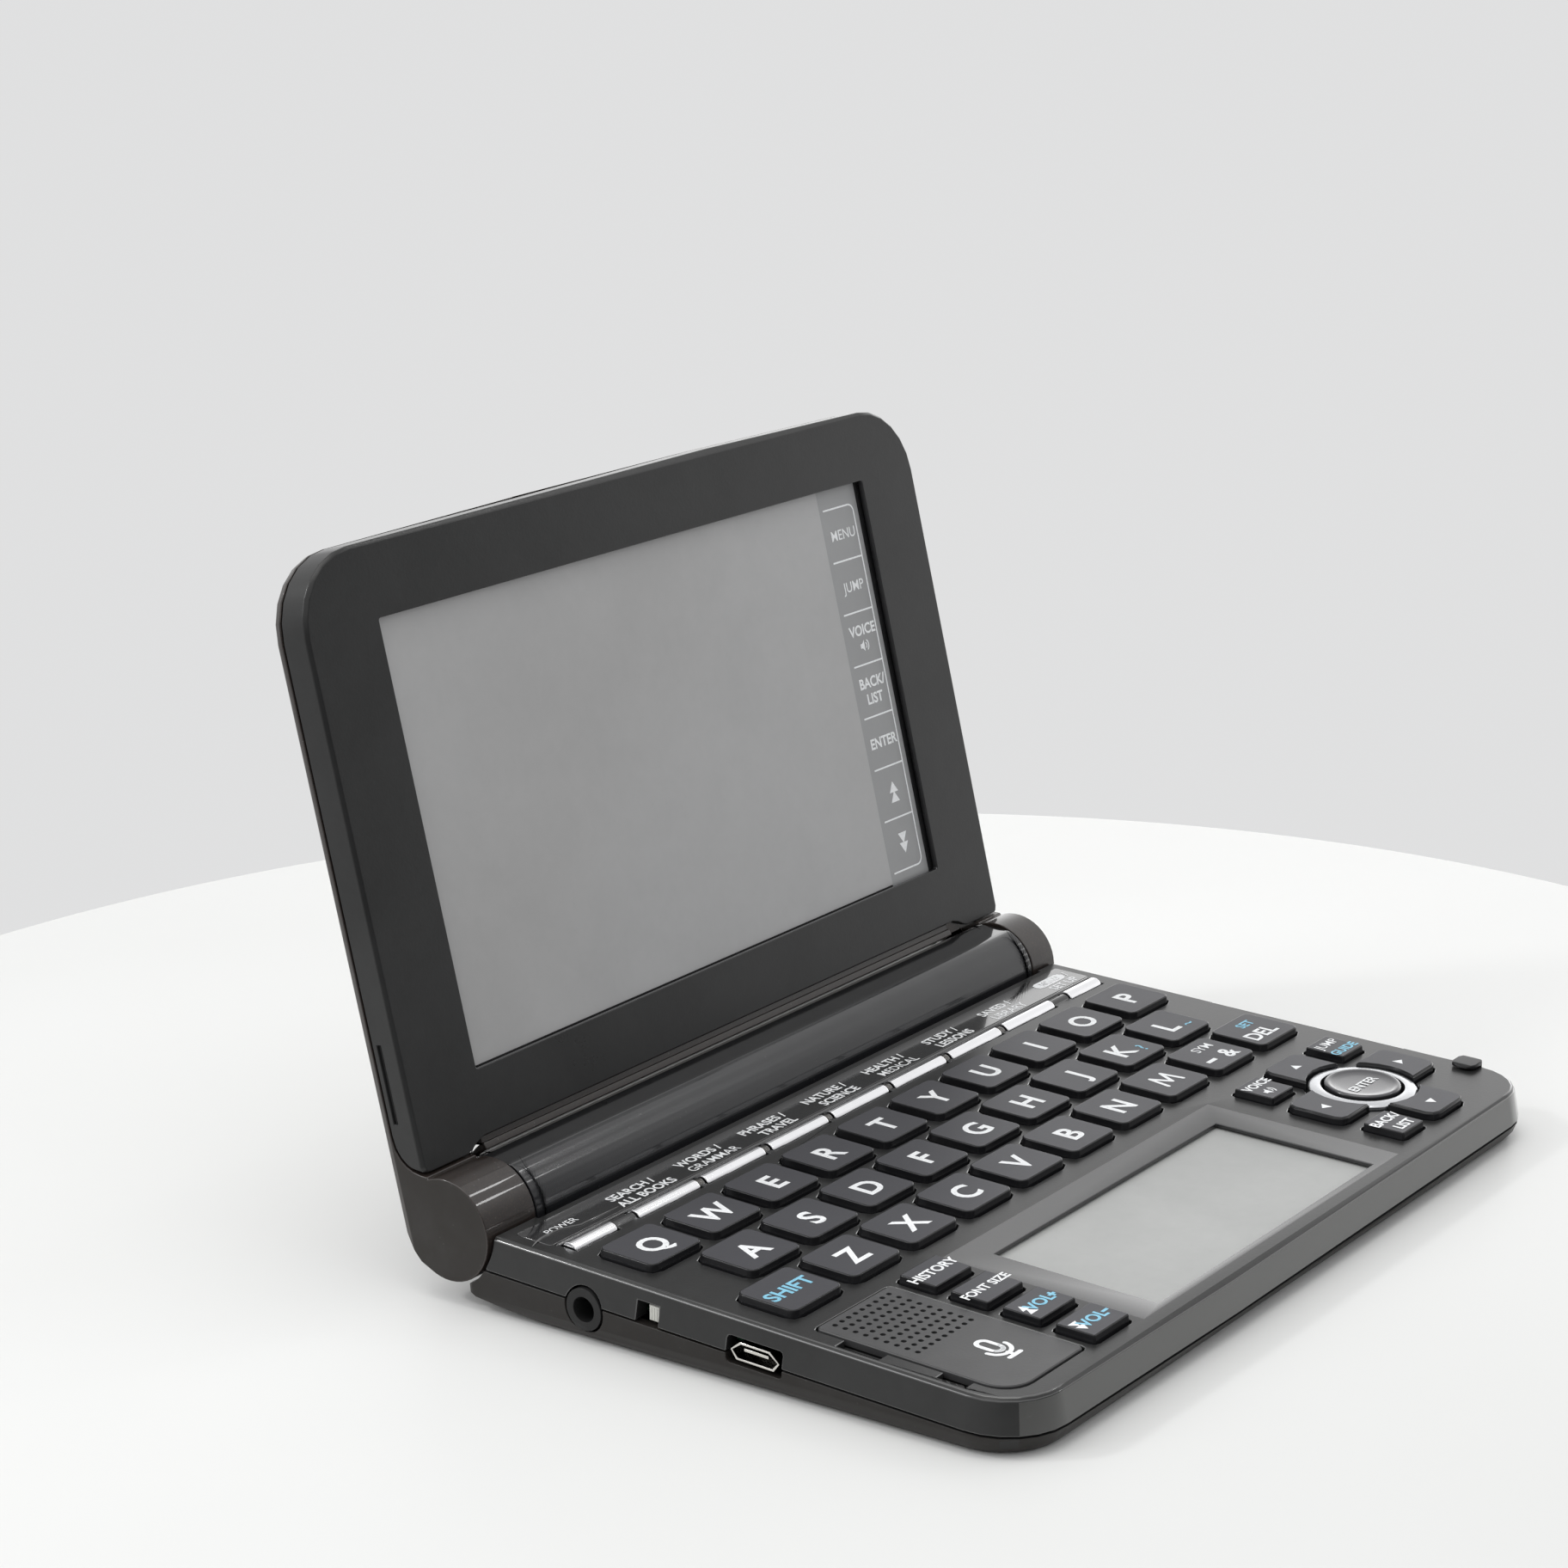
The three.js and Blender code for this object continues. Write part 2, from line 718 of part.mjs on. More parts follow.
function strapCut() {
  const slot = (front, rear, top) => block(
    strapOuter, strapInner, front, rear, -strapSlot.depth, top,
  );
  return join(
    slot(strapRear - strapSlot.rearMouth, strapRear, overrun),
    slot(strapFront, strapFront + strapSlot.frontMouth, overrun),
    slot(strapFront, strapRear, -strapSlot.roof),
  );
}

// The pocket that closes the passage towards the inside of the casing.
function strapPocket() {
  const { border, depth, floor } = strapSlot;
  return block(
    sideWall - deckEdge - overrun, strapInner + border, strapFront - border, strapRear + border,
    -depth - floor, overrun - deckThickness,
  );
}

// Sockets, switch and stylus channel: what is cut from both casing halves

// The cable socket's six sides: widest halfway up, and narrower at the top than at the foot.
function usbOutline(grow) {
  const half = usb.width / 2 + grow;
  const rise = usb.height / 2 + grow;
  const corner = (share, height) => point(usbY + half * share, height - usbDrop);
  return [
    corner(-usb.footShare, -rise), corner(usb.footShare, -rise), corner(1, 0),
    corner(usb.topShare, rise), corner(-usb.topShare, rise), corner(-1, 0),
  ];
}

function sideCuts() {
  const outside = -caseWidth / 2 - overrun;
  const jackEnd = jackLength - caseWidth / 2;
  const usbEnd = usb.depth - caseWidth / 2;
  const jackOutline = circlePoints(jackCollarRadius + clearance, roundFacets, jackY, -jackDrop);
  const usbHole = roundedBox(
    usbY, -usbDrop, usb.width + 2 * usb.hole, usb.height + 2 * usb.hole, usb.hole,
  );
  return join(alongX(jackOutline, outside, jackEnd), alongX(usbHole, outside, usbEnd));
}

function switchWindow() {
  const outside = -caseWidth / 2 - overrun;
  const inside = sideWall + slider.shoe + clearance - caseWidth / 2;
  const half = slideSwitch.length / 2;
  return block(
    outside, inside, switchY - half, switchY + half,
    -slideSwitch.drop - slideSwitch.height, -slideSwitch.drop,
  );
}

function switchSlider() {
  const half = slider.length / 2;
  const y = switchY - (slideSwitch.length - slider.length) / 2 + clearance;
  const face = slideSwitch.sink - caseWidth / 2;
  const back = sideWall + slider.shoe - caseWidth / 2;
  const bottom = clearance - slideSwitch.drop - slideSwitch.height;
  return block(face, back, y - half, y + half, bottom, -slideSwitch.drop - clearance);
}

function stylusProfile(grow, share = 1) {
  const width = stylus.width * share + 2 * grow;
  const height = stylus.height * share + 2 * grow;
  return roundedBox(-stylusDrop, stylusX, height, width, width / 3);
}

function stylusChannel() {
  const rear = stylusRear + stylusClearance;
  const tabRear = stylusTabRear + stylusClearance;
  const outside = caseWidth / 2 + overrun;
  const slitFront = deckDepth * stylusSlit.frontShare;
  const slitRear = deckDepth * stylusSlit.rearShare;
  const bottom = stylusNeckBottom - stylusClearance;
  return join(
    alongY(stylusProfile(stylusClearance), -deckDepth, rear),
    block(slitX, slitX + stylusSlit.width, slitFront, slitRear, -stylusDrop, overrun),
    block(stylusX, outside, -deckDepth, tabRear, bottom, stylusNeckTop + stylusClearance),
    block(stylusTabSide - clearance, outside, -deckDepth, tabRear, bottom, overrun),
  );
}

function stylusBody() {
  const shaftEnd = stylusRear - stylus.tip;
  const shaft = alongY(stylusProfile(0), stylusFront, shaftEnd);
  const tip = solid(cycled(loftGeometry([
    atHeight(stylusProfile(0), shaftEnd),
    atHeight(stylusProfile(0, stylus.tipShare), stylusRear),
  ]), 2));
  const outer = caseWidth / 2;
  const inner = outer - stylusTab.width;
  const { lift, rise, corner, length, width, round } = stylusTab;
  const top = [
    point(lift, inner), point(rise - corner, inner), point(rise, inner + corner),
    point(rise, outer - corner), point(rise - corner, outer), point(lift, outer),
  ];
  const plan = roundedBox(
    (inner + outer) / 2, (stylusFront + stylusTabRear) / 2, width, length, round,
  );
  const tab = join(
    alongY(top, stylusFront, stylusTabRear),
    block(stylusTabSide, outer, stylusFront, stylusTabRear, stylusNeckBottom, rise - corner),
    block(stylusX, outer, stylusFront, stylusTabRear, stylusNeckBottom, stylusNeckTop),
  );
  return join(shaft, tip, tab.intersect(prism(plan, -stylusDrop - rise, rise + overrun)));
}

// Casing halves

function baseRings(steps) {
  return steps.map(({ z, grow }) => atHeight(
    casingPoints(
      deckEdge + grow, -deckRim - grow, deckRim + upperOverhang,
      caseCornerRadius + grow, rearCornerRadius, frontBow,
    ),
    z,
  ));
}

const barrelPlace = (profile) => moved(profile, hingeY, hingeZ);
const turningSpace = () => {
  const room = barrelPlace(circlePoints(turnRadius, barrelFacets));
  return join(
    alongX(room, -caseWidth / 2 - overrun, -barrelLeft - clearance),
    alongX(room, barrelRight + clearance, caseWidth / 2 + overrun),
  );
};

function upperCaseShell() {
  const outside = loft(...baseRings([
    { z: seamZ + clearance / 2, grow: caseFlare },
    { z: -edgeBreak, grow: edgeBreak / 4 },
    { z: 0, grow: -edgeBreak },
  ]));
  const inner = casingPoints(
    deckEdge - sideWall, sideWall - deckRim, deckRim - cavityInset,
    caseCornerRadius - sideWall, rearCornerRadius, frontBow,
  );
  const groove = block(
    -barrelLeft - overrun, barrelRight + overrun, deckRear, hingeY, -rearGrooveDepth, overrun,
  );
  const stylusRail = block(
    stylusX - stylus.width, deckEdge - sideWall + overrun, caseCornerRadius - deckRim,
    stylusRear + sideWall, seamZ + clearance / 2, -deckThickness + overrun / 2,
  );
  const hollow = cut(outside, prism(inner, seamZ - overrun, -deckThickness), groove);
  return join(hollow, stylusRail, strapPocket());
}

// The barrel's upper front skin, its end walls and the pins that the lid turns on.
function barrelUpper() {
  const skin = barrelPlace(sectorPoints(boreRadius, barrelRadius, upperArc));
  const disc = barrelPlace(circlePoints(barrelRadius, barrelFacets));
  const pin = barrelPlace(circlePoints(hingePinRadius, roundFacets));
  return join(
    alongX(skin, -barrelLeft, barrelRight),
    alongX(disc, -barrelLeft, barrelEndWall - barrelLeft),
    alongX(disc, barrelRight - barrelEndWall, barrelRight),
    alongX(pin, -barrelLeft - hingePinLength, overrun - barrelLeft),
    alongX(pin, barrelRight - overrun, barrelRight + hingePinLength),
  );
}

function upperCase() {
  const openings = [
    ...[...letterKeys(), ...sideKeys(), ...clusterKeys()].map(keyOpening),
    ...functionKeys().map(functionKeyOpening),
    cursorOpening(),
    penPanelRecess(),
    speakerSeat(),
    strapCut(),
    sideCuts(),
    switchWindow(),
    stylusChannel(),
  ];
  const barrelEnds = [-barrelLeft - clearance, barrelRight + clearance];
  const boreRoom = alongX(barrelPlace(circlePoints(boreRadius, barrelFacets)), ...barrelEnds);
  const lowerSkinRoom = alongX(
    barrelPlace([
      point(0, 0),
      ...arcPoints(0, 0, barrelRadius + clearance, upperArc.to, 360, barrelFacets / 2),
    ]),
    ...barrelEnds,
  );
  const shell = cut(upperCaseShell(), ...openings, turningSpace(), boreRoom, lowerSkinRoom);
  return join(shell, barrelUpper(), functionKeySpacers());
}

// The tray: its sides curve in to a flat underside that is level when the object stands.
function trayShell() {
  const ring = (inset, height) => atHeight(
    casingPoints(
      caseWidth / 2 - inset, -deckRim - caseFlare + inset, deckRim + tailOverhang - inset,
      caseCornerRadius + caseFlare - inset, rearCornerRadius, frontBow,
    ),
    height,
  );
  const above = (rise) => (y) => tableZ(y) + rise;
  return loft(
    ring(bottomRound, above(0)),
    ring(bottomRound * 0.6, above(bottomRound / 8)),
    ring(bottomRound / 4, above(bottomRound / 2)),
    ring(bottomRound / 16, above(bottomRound)),
    ring(0, seamZ - clearance / 2),
  );
}

function trayCavity() {
  const ring = (inset, height) => atHeight(
    casingPoints(
      caseWidth / 2 - inset, -deckRim + inset, deckRim - cavityInset,
      caseCornerRadius + caseFlare - inset, rearCornerRadius, frontBow,
    ),
    height,
  );
  return loft(
    ring(sideWall + bottomWall, (y) => tableZ(y) + bottomWall),
    ring(sideWall, (y) => tableZ(y) + bottomWall + bottomRound / 2),
    ring(sideWall, 0),
  );
}

// Under the tail the underside rises off the table.
function tailKick() {
  const start = deckRim + tailOverhang - tailKickRun;
  const rear = deckRim + tailOverhang + overrun;
  const profile = [
    point(start, tableZ(start) - tailKickRise),
    point(rear, tableZ(rear) - tailKickRise),
    point(rear, tableZ(rear) + ((rear - start) * tailKickRise) / tailKickRun),
    point(start, tableZ(start)),
  ];
  return alongX(profile, -caseWidth, caseWidth);
}

// Two feet under the tail stand on the table, so that the open lid does not tip the case back.
function tailFeet() {
  return join(...[-1, 1].map((side) => {
    const outline = circlePoints(
      tailFoot.radius, wideArc * 2, side * deckEdge * tailFoot.share, deckRim + tailFoot.overhang,
    );
    return loft(atHeight(outline, tableZ), atHeight(outline, (y) => tableZ(y) + tailFoot.height));
  }));
}

function boardBosses() {
  const top = -boardDrop - boardThickness - clearance;
  return join(...bossShares.map(([across, along]) => {
    const outline = circlePoints(bossRadius, wideArc + smallArc, deckEdge * across, deckRim * along);
    return loft(atHeight(outline, (y) => tableZ(y) + bottomWall / 2), atHeight(outline, top));
  }));
}

// The barrel's lower skin, closed under the cells by the battery cover.
function barrelLower() {
  const skin = barrelPlace(sectorPoints(boreRadius, barrelRadius, lowerArc));
  const left = barrelEndWall + clearance - barrelLeft;
  const right = barrelRight - barrelEndWall - clearance;
  return alongX(skin, left, right);
}

const barrelMiddle = (barrelRight - barrelLeft) / 2;
const coverLength = barrelLength - 2 * coverInset;

function coverSector(inner, outer, gap) {
  const arc = { from: coverArc.from - gap, to: coverArc.to + gap };
  return barrelPlace(sectorPoints(inner, outer, arc));
}

function lowerCase() {
  const half = coverLength / 2 + clearance;
  const coverRoom = alongX(
    coverSector(boreRadius - overrun, barrelRadius + overrun, coverArcGap),
    barrelMiddle - half, barrelMiddle + half,
  );
  const room = barrelPlace(circlePoints(boreRadius, barrelFacets));
  const barrelRoom = barrelPlace(circlePoints(barrelRadius + clearance, barrelFacets));
  const coverPath = block(
    barrelMiddle - half, barrelMiddle + half,
    hingeY + (barrelRadius + clearance) * Math.cos(degToRad(coverArc.from - coverArcGap)),
    hingeY + barrelRadius + clearance, -caseWidth, hingeZ - barrelRadius / 2,
  );
  const tray = cut(
    trayShell(),
    trayCavity(),
    tailKick(),
    sideCuts(),
    turningSpace(),
    alongX(room, -barrelLeft - clearance, barrelRight + clearance),
    alongX(barrelRoom, -barrelLeft - clearance, barrelEndWall + clearance - barrelLeft),
    alongX(barrelRoom, barrelRight - barrelEndWall - clearance, barrelRight + clearance),
  );
  return cut(join(tray, tailFeet(), barrelLower(), boardBosses()), coverRoom, coverPath);
}

function batteryCover() {
  const half = coverLength / 2;
  const skin = alongX(
    coverSector(boreRadius, barrelRadius, 0),
    barrelMiddle - half, barrelMiddle + half,
  );
  const thumb = alongX(
    coverSector(barrelRadius - coverThumb.depth, barrelRadius + overrun, -coverThumb.arc),
    barrelMiddle - coverThumb.width / 2, barrelMiddle + coverThumb.width / 2,
  );
  return cut(skin, thumb);
}

// Two cells in a row; each one's nub presses on the next contact.
function batteryCells() {
  const pitch = (barrelLength - 2 * barrelEndWall - contactRoom) / 2;
  const body = barrelPlace(circlePoints(boreRadius - cellClearance, roundFacets));
  const nub = barrelPlace(circlePoints(cellNubRadius, wideArc * 2));
  const cell = (left) => join(
    alongX(body, left, left + pitch - cellNubLength),
    alongX(nub, left, left + pitch + clearance / 2),
  );
  const first = barrelEndWall + cellContact - barrelLeft;
  return join(cell(first), cell(first + pitch));
}

// Circuit board with the earphone and cable sockets soldered to it

function boardSheet() {
  const half = deckEdge - boardMargin;
  const front = boardMargin - deckRim;
  const rear = deckRim - boardRearMargin;
  const sheet = prism(
    roundedBox(0, (front + rear) / 2, 2 * half, rear - front, caseCornerRadius),
    -boardDrop - boardThickness, -boardDrop,
  );
  const face = -caseWidth / 2;
  const jackRoom = block(
    face, face + jackLength - clearance, jackY - jackBodyRadius, jackY + jackBodyRadius,
    -jackDrop, -boardDrop,
  );
  const switchHalf = slideSwitch.length / 2 + clearance;
  const switchRoom = block(
    face, face + sideWall + slider.shoe + 2 * clearance, switchY - switchHalf, switchY + switchHalf,
    -boardDrop - boardThickness, -boardDrop,
  );
  return cut(sheet, jackRoom, switchRoom);
}

function mainBoard() {
  const face = -caseWidth / 2;
  const jackEnd = face + jackLength - clearance;
  const jackDisc = (radius) => circlePoints(radius, roundFacets, jackY, -jackDrop);
  const jack = join(
    alongX(jackDisc(jackCollarRadius), face, face + sideWall),
    alongX(jackDisc(jackBodyRadius), face, jackEnd),
  );
  const jackBore = alongX(jackDisc(jackBoreRadius), face - overrun, jackEnd - sideWall);
  const shellFace = face + usb.wall;
  const shellEnd = face + usb.depth - clearance;
  const shell = cut(
    alongX(usbOutline(0), shellFace, shellEnd),
    alongX(usbOutline(-usb.wall), shellFace - overrun, shellEnd - usb.wall),
  );
  const tongueHalf = usb.width / 4;
  const tongue = block(
    shellFace + usb.wall, shellEnd, usbY - tongueHalf, usbY + tongueHalf,
    -usbDrop, -usbDrop + usb.tongue,
  );
  const socketTab = block(
    shellEnd - usb.wall, overrun + boardMargin - deckEdge, usbY - tongueHalf, usbY + tongueHalf,
    -boardDrop - boardThickness, -boardDrop,
  );
  return join(cut(join(boardSheet(), jack), jackBore), socketTab, shell, tongue);
}

// Lid, in its closed pose: the hinge line is the origin and the screen faces down

function lidPoints(inset, rear) {
  const front = -bezelRear - lidDepth + inset;
  return casingPoints(
    lidWidth / 2 - inset, front, rear, lidCornerRadius - inset, lidRearCornerRadius, frontBow,
  );
}

// The bezel's plan: its rear edge steps back at both ends, towards the knuckles.
function bezelPoints(inset) {
  const ear = lidWidth / 2 - earWidth;
  const foot = ear - earSlope;
  const rear = -bezelRear;
  const step = (side, share) => point(
    side * (foot + earSlope * share), rear + earReach * share * share * (3 - 2 * share),
  );
  const shares = [0, 1 / 3, 2 / 3, 1];
  return [
    ...lidPoints(inset, rear + earReach),
    ...shares.toReversed().map((share) => step(1, share)),
    ...shares.map((share) => step(-1, share)),
  ];
}

function lidBezel() {
  const outside = loft(
    atHeight(bezelPoints(bezelSlope), bezelRise),
    atHeight(bezelPoints(0), bezelRise + bezelSlope),
    atHeight(bezelPoints(0), bezelTop),
  );
  const opening = roundedBox(0, screenCentreY, screenWidth, screenDepth, edgeBreak);
  const pocket = roundedBox(
    0, screenCentreY, screenWidth + 2 * (screenLap + clearance),
    screenDepth + 2 * (screenLap + clearance), edgeBreak,
  );
  const slot = block(
    -lidWidth / 2 - overrun, lidSlot.depth - lidWidth / 2,
    -lidSlot.rear, lidSlot.length - lidSlot.rear,
    bezelRise + lidSlot.rise, bezelRise + lidSlot.rise + lidSlot.height,
  );
  const rearCut = alongX(
    [...knuckleSeamPoints(clearance), point(-knuckleSeam.reach, bezelTop + overrun),
      point(0, bezelTop + overrun), point(0, 0)].reverse(),
    -lidWidth, lidWidth,
  );
  return cut(
    outside,
    prism(opening, bezelRise - overrun, bezelTop + overrun),
    prism(pocket, displayFace - clearance, bezelTop + overrun),
    slot,
    rearCut,
  );
}

function mainDisplay() {
  const outline = roundedBox(
    0, screenCentreY, screenWidth + 2 * screenLap, screenDepth + 2 * screenLap, edgeBreak,
  );
  return prism(outline, displayFace, displayFace + displayThickness);
}

// The seam between cover and bezel at a knuckle, from the hinge circle up to the cover's edge.
function knuckleSeamPoints(shift) {
  const [foot] = arcPoints(0, 0, barrelRadius + clearance, knuckleSeam.start, knuckleSeam.start, 1);
  return new THREE.CubicBezierCurve(
    point(foot.x - shift, foot.y - shift),
    point(foot.x - knuckleSeam.lean - shift, foot.y + knuckleSeam.rise - shift),
    point(knuckleSeam.bend - knuckleSeam.reach - shift, lidFlange - shift),
    point(-knuckleSeam.reach - shift, lidFlange - shift),
  ).getPoints(wideArc);
}

// The end profile of the lid at a knuckle: round about the hinge line, with a crown that runs
// out into the lid's back.
function knuckleProfile() {
  const under = knuckleSeam.start - 360;
  const steps = Math.round(((knuckleCrown.start - under) * barrelFacets) / 360);
  const round = arcPoints(0, 0, barrelRadius, under, knuckleCrown.start, steps);
  const end = round.at(-1);
  const crown = new THREE.CubicBezierCurve(
    end,
    point(end.x - knuckleCrown.lean, end.y + knuckleCrown.steer),
    point(knuckleCrown.steer - knuckleCrown.rear, lidTop),
    point(-knuckleCrown.rear, lidTop),
  ).getPoints(wideArc);
  return [
    ...round,
    ...crown.slice(1),
    point(-knuckleSeam.reach, lidTop),
    ...knuckleSeamPoints(0).reverse(),
  ];
}

function lidKnuckle(left, right, pinSide) {
  const bore = alongX(
    circlePoints(hingePinRadius + hingePinClearance, roundFacets),
    pinSide < 0 ? right - hingePinLength - clearance : left - overrun,
    pinSide < 0 ? right + overrun : left + hingePinLength + clearance,
  );
  return cut(alongX(knuckleProfile(), left, right), bore);
}

// The lid's outline drawn up to its back, whose edge is rounded.
function lidBlank(bottom, rear) {
  const outline = (inset, z) => atHeight(lidPoints(inset, rear - inset), z);
  return loft(
    outline(0, bottom),
    outline(0, lidTop - coverRound),
    outline(coverRound / 8, lidTop - coverRound / 2),
    outline(coverRound / 2, lidTop - coverRound / 8),
    outline(coverRound, lidTop),
  );
}

// A curved lip that hangs from the lid's back close round the barrel, down to an angle about it.
function barrelLip(left, right, foot) {
  const inner = barrelRadius + clearance;
  const arc = { from: coverLip.top, to: foot };
  return alongX(sectorPoints(inner, inner + coverLip.thickness, arc), left, right);
}

function lidCover() {
  const wallEnd = lidWidth / 2 - earWidth - earSlope - clearance;
  const rearWall = block(
    -wallEnd, wallEnd, -coverRear - coverRearWall, -coverRear,
    bezelRise + coverRearRise, lidFlange + clearance,
  );
  const ends = join(
    lidKnuckle(-lidWidth / 2 - overrun, -barrelLeft - clearance, -1),
    lidKnuckle(barrelRight + clearance, lidWidth / 2 + overrun, 1),
  );
  return join(
    lidBlank(lidFlange, -coverRear),
    rearWall,
    barrelLip(-wallEnd, wallEnd, coverLip.foot),
    barrelLip(-barrelLeft - overrun, barrelRight + overrun, coverLip.earFoot),
    ends.intersect(lidBlank(-turnRadius, turnRadius + coverRound)),
  );
}

// Assembly

function addBase() {
  addNode(deck, 'upper_case', upperCase(), 'charcoal');
  addNode(deck, 'lower_case', lowerCase(), 'brown');
  addNode(deck, 'battery_cover', batteryCover(), 'brown');
  addNode(deck, 'battery_cells', batteryCells(), 'cell');
  addNode(deck, 'main_board', mainBoard(), 'board');
  addNode(deck, 'pen_panel', penPanel(), 'penPanel');
  addNode(deck, 'speaker_cover', speakerCover(), 'charcoal');
  addNode(deck, 'power_switch_slider', switchSlider(), 'slider');
  addNode(deck, 'stylus', stylusBody(), 'black');
}

function addKeys() {
  for (const key of [...letterKeys(), ...sideKeys(), ...clusterKeys()]) {
    addNode(deck, key.name, keyCap(key), 'keycap');
  }
  for (const key of functionKeys()) addNode(deck, key.name, functionKeyBar(key), 'chrome');
  addNode(deck, 'cursor_pad', cursorPad(), 'keycap');
  addNode(deck, 'cursor_ring', cursorRing(), 'silver');
  addNode(deck, 'enter_key', enterKey(), 'keycap');
}

function addLid() {
  addNode(lid, 'lid_cover', lidCover(), 'brown');
  addNode(lid, 'lid_bezel', lidBezel(), 'charcoal');
  addNode(lid, 'main_display', mainDisplay(), 'lcd');
}

addBase();
addKeys();
addLid();

lid.position.set(0, hingeY, hingeZ);
lid.rotation.x = -openAngle;
const floorZ = tableZ(0);
deck.rotation.x = wedgeAngle;
deck.position.set(0, floorZ * Math.sin(wedgeAngle), -floorZ * Math.cos(wedgeAngle));

export default model;
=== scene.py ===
"""Looks of a clamshell electronic dictionary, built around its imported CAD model."""

import logging
import math
from dataclasses import dataclass, field
from enum import Enum
from typing import Callable, Sequence

import bmesh
import bpy
from mathutils import Matrix, Vector
from mathutils.geometry import tessellate_polygon


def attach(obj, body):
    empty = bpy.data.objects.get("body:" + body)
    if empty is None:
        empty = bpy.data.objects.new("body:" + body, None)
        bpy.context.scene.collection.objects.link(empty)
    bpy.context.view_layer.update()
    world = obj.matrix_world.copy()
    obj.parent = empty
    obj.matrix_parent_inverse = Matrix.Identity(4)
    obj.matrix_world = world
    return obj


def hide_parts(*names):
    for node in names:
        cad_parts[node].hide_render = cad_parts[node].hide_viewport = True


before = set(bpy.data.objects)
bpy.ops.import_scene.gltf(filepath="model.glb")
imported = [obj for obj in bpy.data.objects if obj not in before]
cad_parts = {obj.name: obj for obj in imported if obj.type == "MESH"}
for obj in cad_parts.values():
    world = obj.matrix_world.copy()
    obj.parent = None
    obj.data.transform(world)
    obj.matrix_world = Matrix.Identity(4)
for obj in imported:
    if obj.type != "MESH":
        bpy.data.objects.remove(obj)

log = logging.getLogger("dictionary")

Point = tuple[float, float]
Spot = tuple[float, float, float]
Colour = tuple[float, float, float]

MM = 0.001
TINY = 1e-6


# Frames


@dataclass(frozen=True)
class Layout:
    """The frames in which the pieces are laid out, in millimetres."""

    wedge: float = math.radians(2.4)
    front_height: float = 8.2
    half_depth: float = 44.6
    hinge_y: float = 55.15
    hinge_drop: float = 0.85
    opening: float = math.radians(104)

    def deck(self) -> Matrix:
        """Finds the frame of the deck, whose origin is the middle of the deck's top face.

        Returns:
            The frame.
        """
        floor = -(self.front_height + self.half_depth * math.tan(self.wedge))
        place = Vector((0, floor * math.sin(self.wedge), -floor * math.cos(self.wedge)))
        turn = Matrix.Rotation(self.wedge, 4, "X")
        return Matrix.Translation(place * MM) @ turn @ Matrix.Scale(MM, 4)

    def hinge(self) -> Matrix:
        """Frame of the hinge: the deck's frame moved to the hinge line."""
        return self.deck() @ Matrix.Translation((0, self.hinge_y, -self.hinge_drop))

    def screen(self) -> Matrix:
        """Frame of the opened lid: y runs up the lid from the hinge and z towards the reader."""
        return self.hinge() @ Matrix.Rotation(math.pi - self.opening, 4, "X")


LAYOUT = Layout()


def span(node: str, placing: Matrix) -> tuple[Vector, Vector]:
    """Measures a CAD node in one of the frames.

    Args:
        node: Name of the CAD node.
        placing: Frame to measure in.

    Returns:
        The node's lowest and highest corners there, in millimetres.
    """
    back = placing.inverted()
    points = [back @ vertex.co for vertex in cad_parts[node].data.vertices]
    low = Vector([min(point[axis] for point in points) for axis in range(3)])
    high = Vector([max(point[axis] for point in points) for axis in range(3)])
    return low, high


def middle(node: str, placing: Matrix) -> Point:
    """Finds the middle of a CAD node, in plan, in one of the frames."""
    low, high = span(node, placing)
    return (low.x + high.x) / 2, (low.y + high.y) / 2


def add_object(name: str, data: bpy.types.ID) -> bpy.types.Object:
    """Adds an object to the scene.

    Args:
        name: Name of the object.
        data: Its mesh, letters, lamp or camera.

    Returns:
        The object.
    """
    thing = bpy.data.objects.new(name, data)
    bpy.context.scene.collection.objects.link(thing)
    return thing


def evaluated(thing: bpy.types.Object) -> bpy.types.Mesh:
    """Copies an object's mesh as Blender draws it, with its modifiers applied."""
    bpy.context.view_layer.update()
    return bpy.data.meshes.new_from_object(thing.evaluated_get(bpy.context.evaluated_depsgraph_get()))


# Node groups and finishes


def rgba(colour: Colour) -> tuple[float, float, float, float]:
    """Adds full opacity to a colour."""
    return (*colour, 1.0)


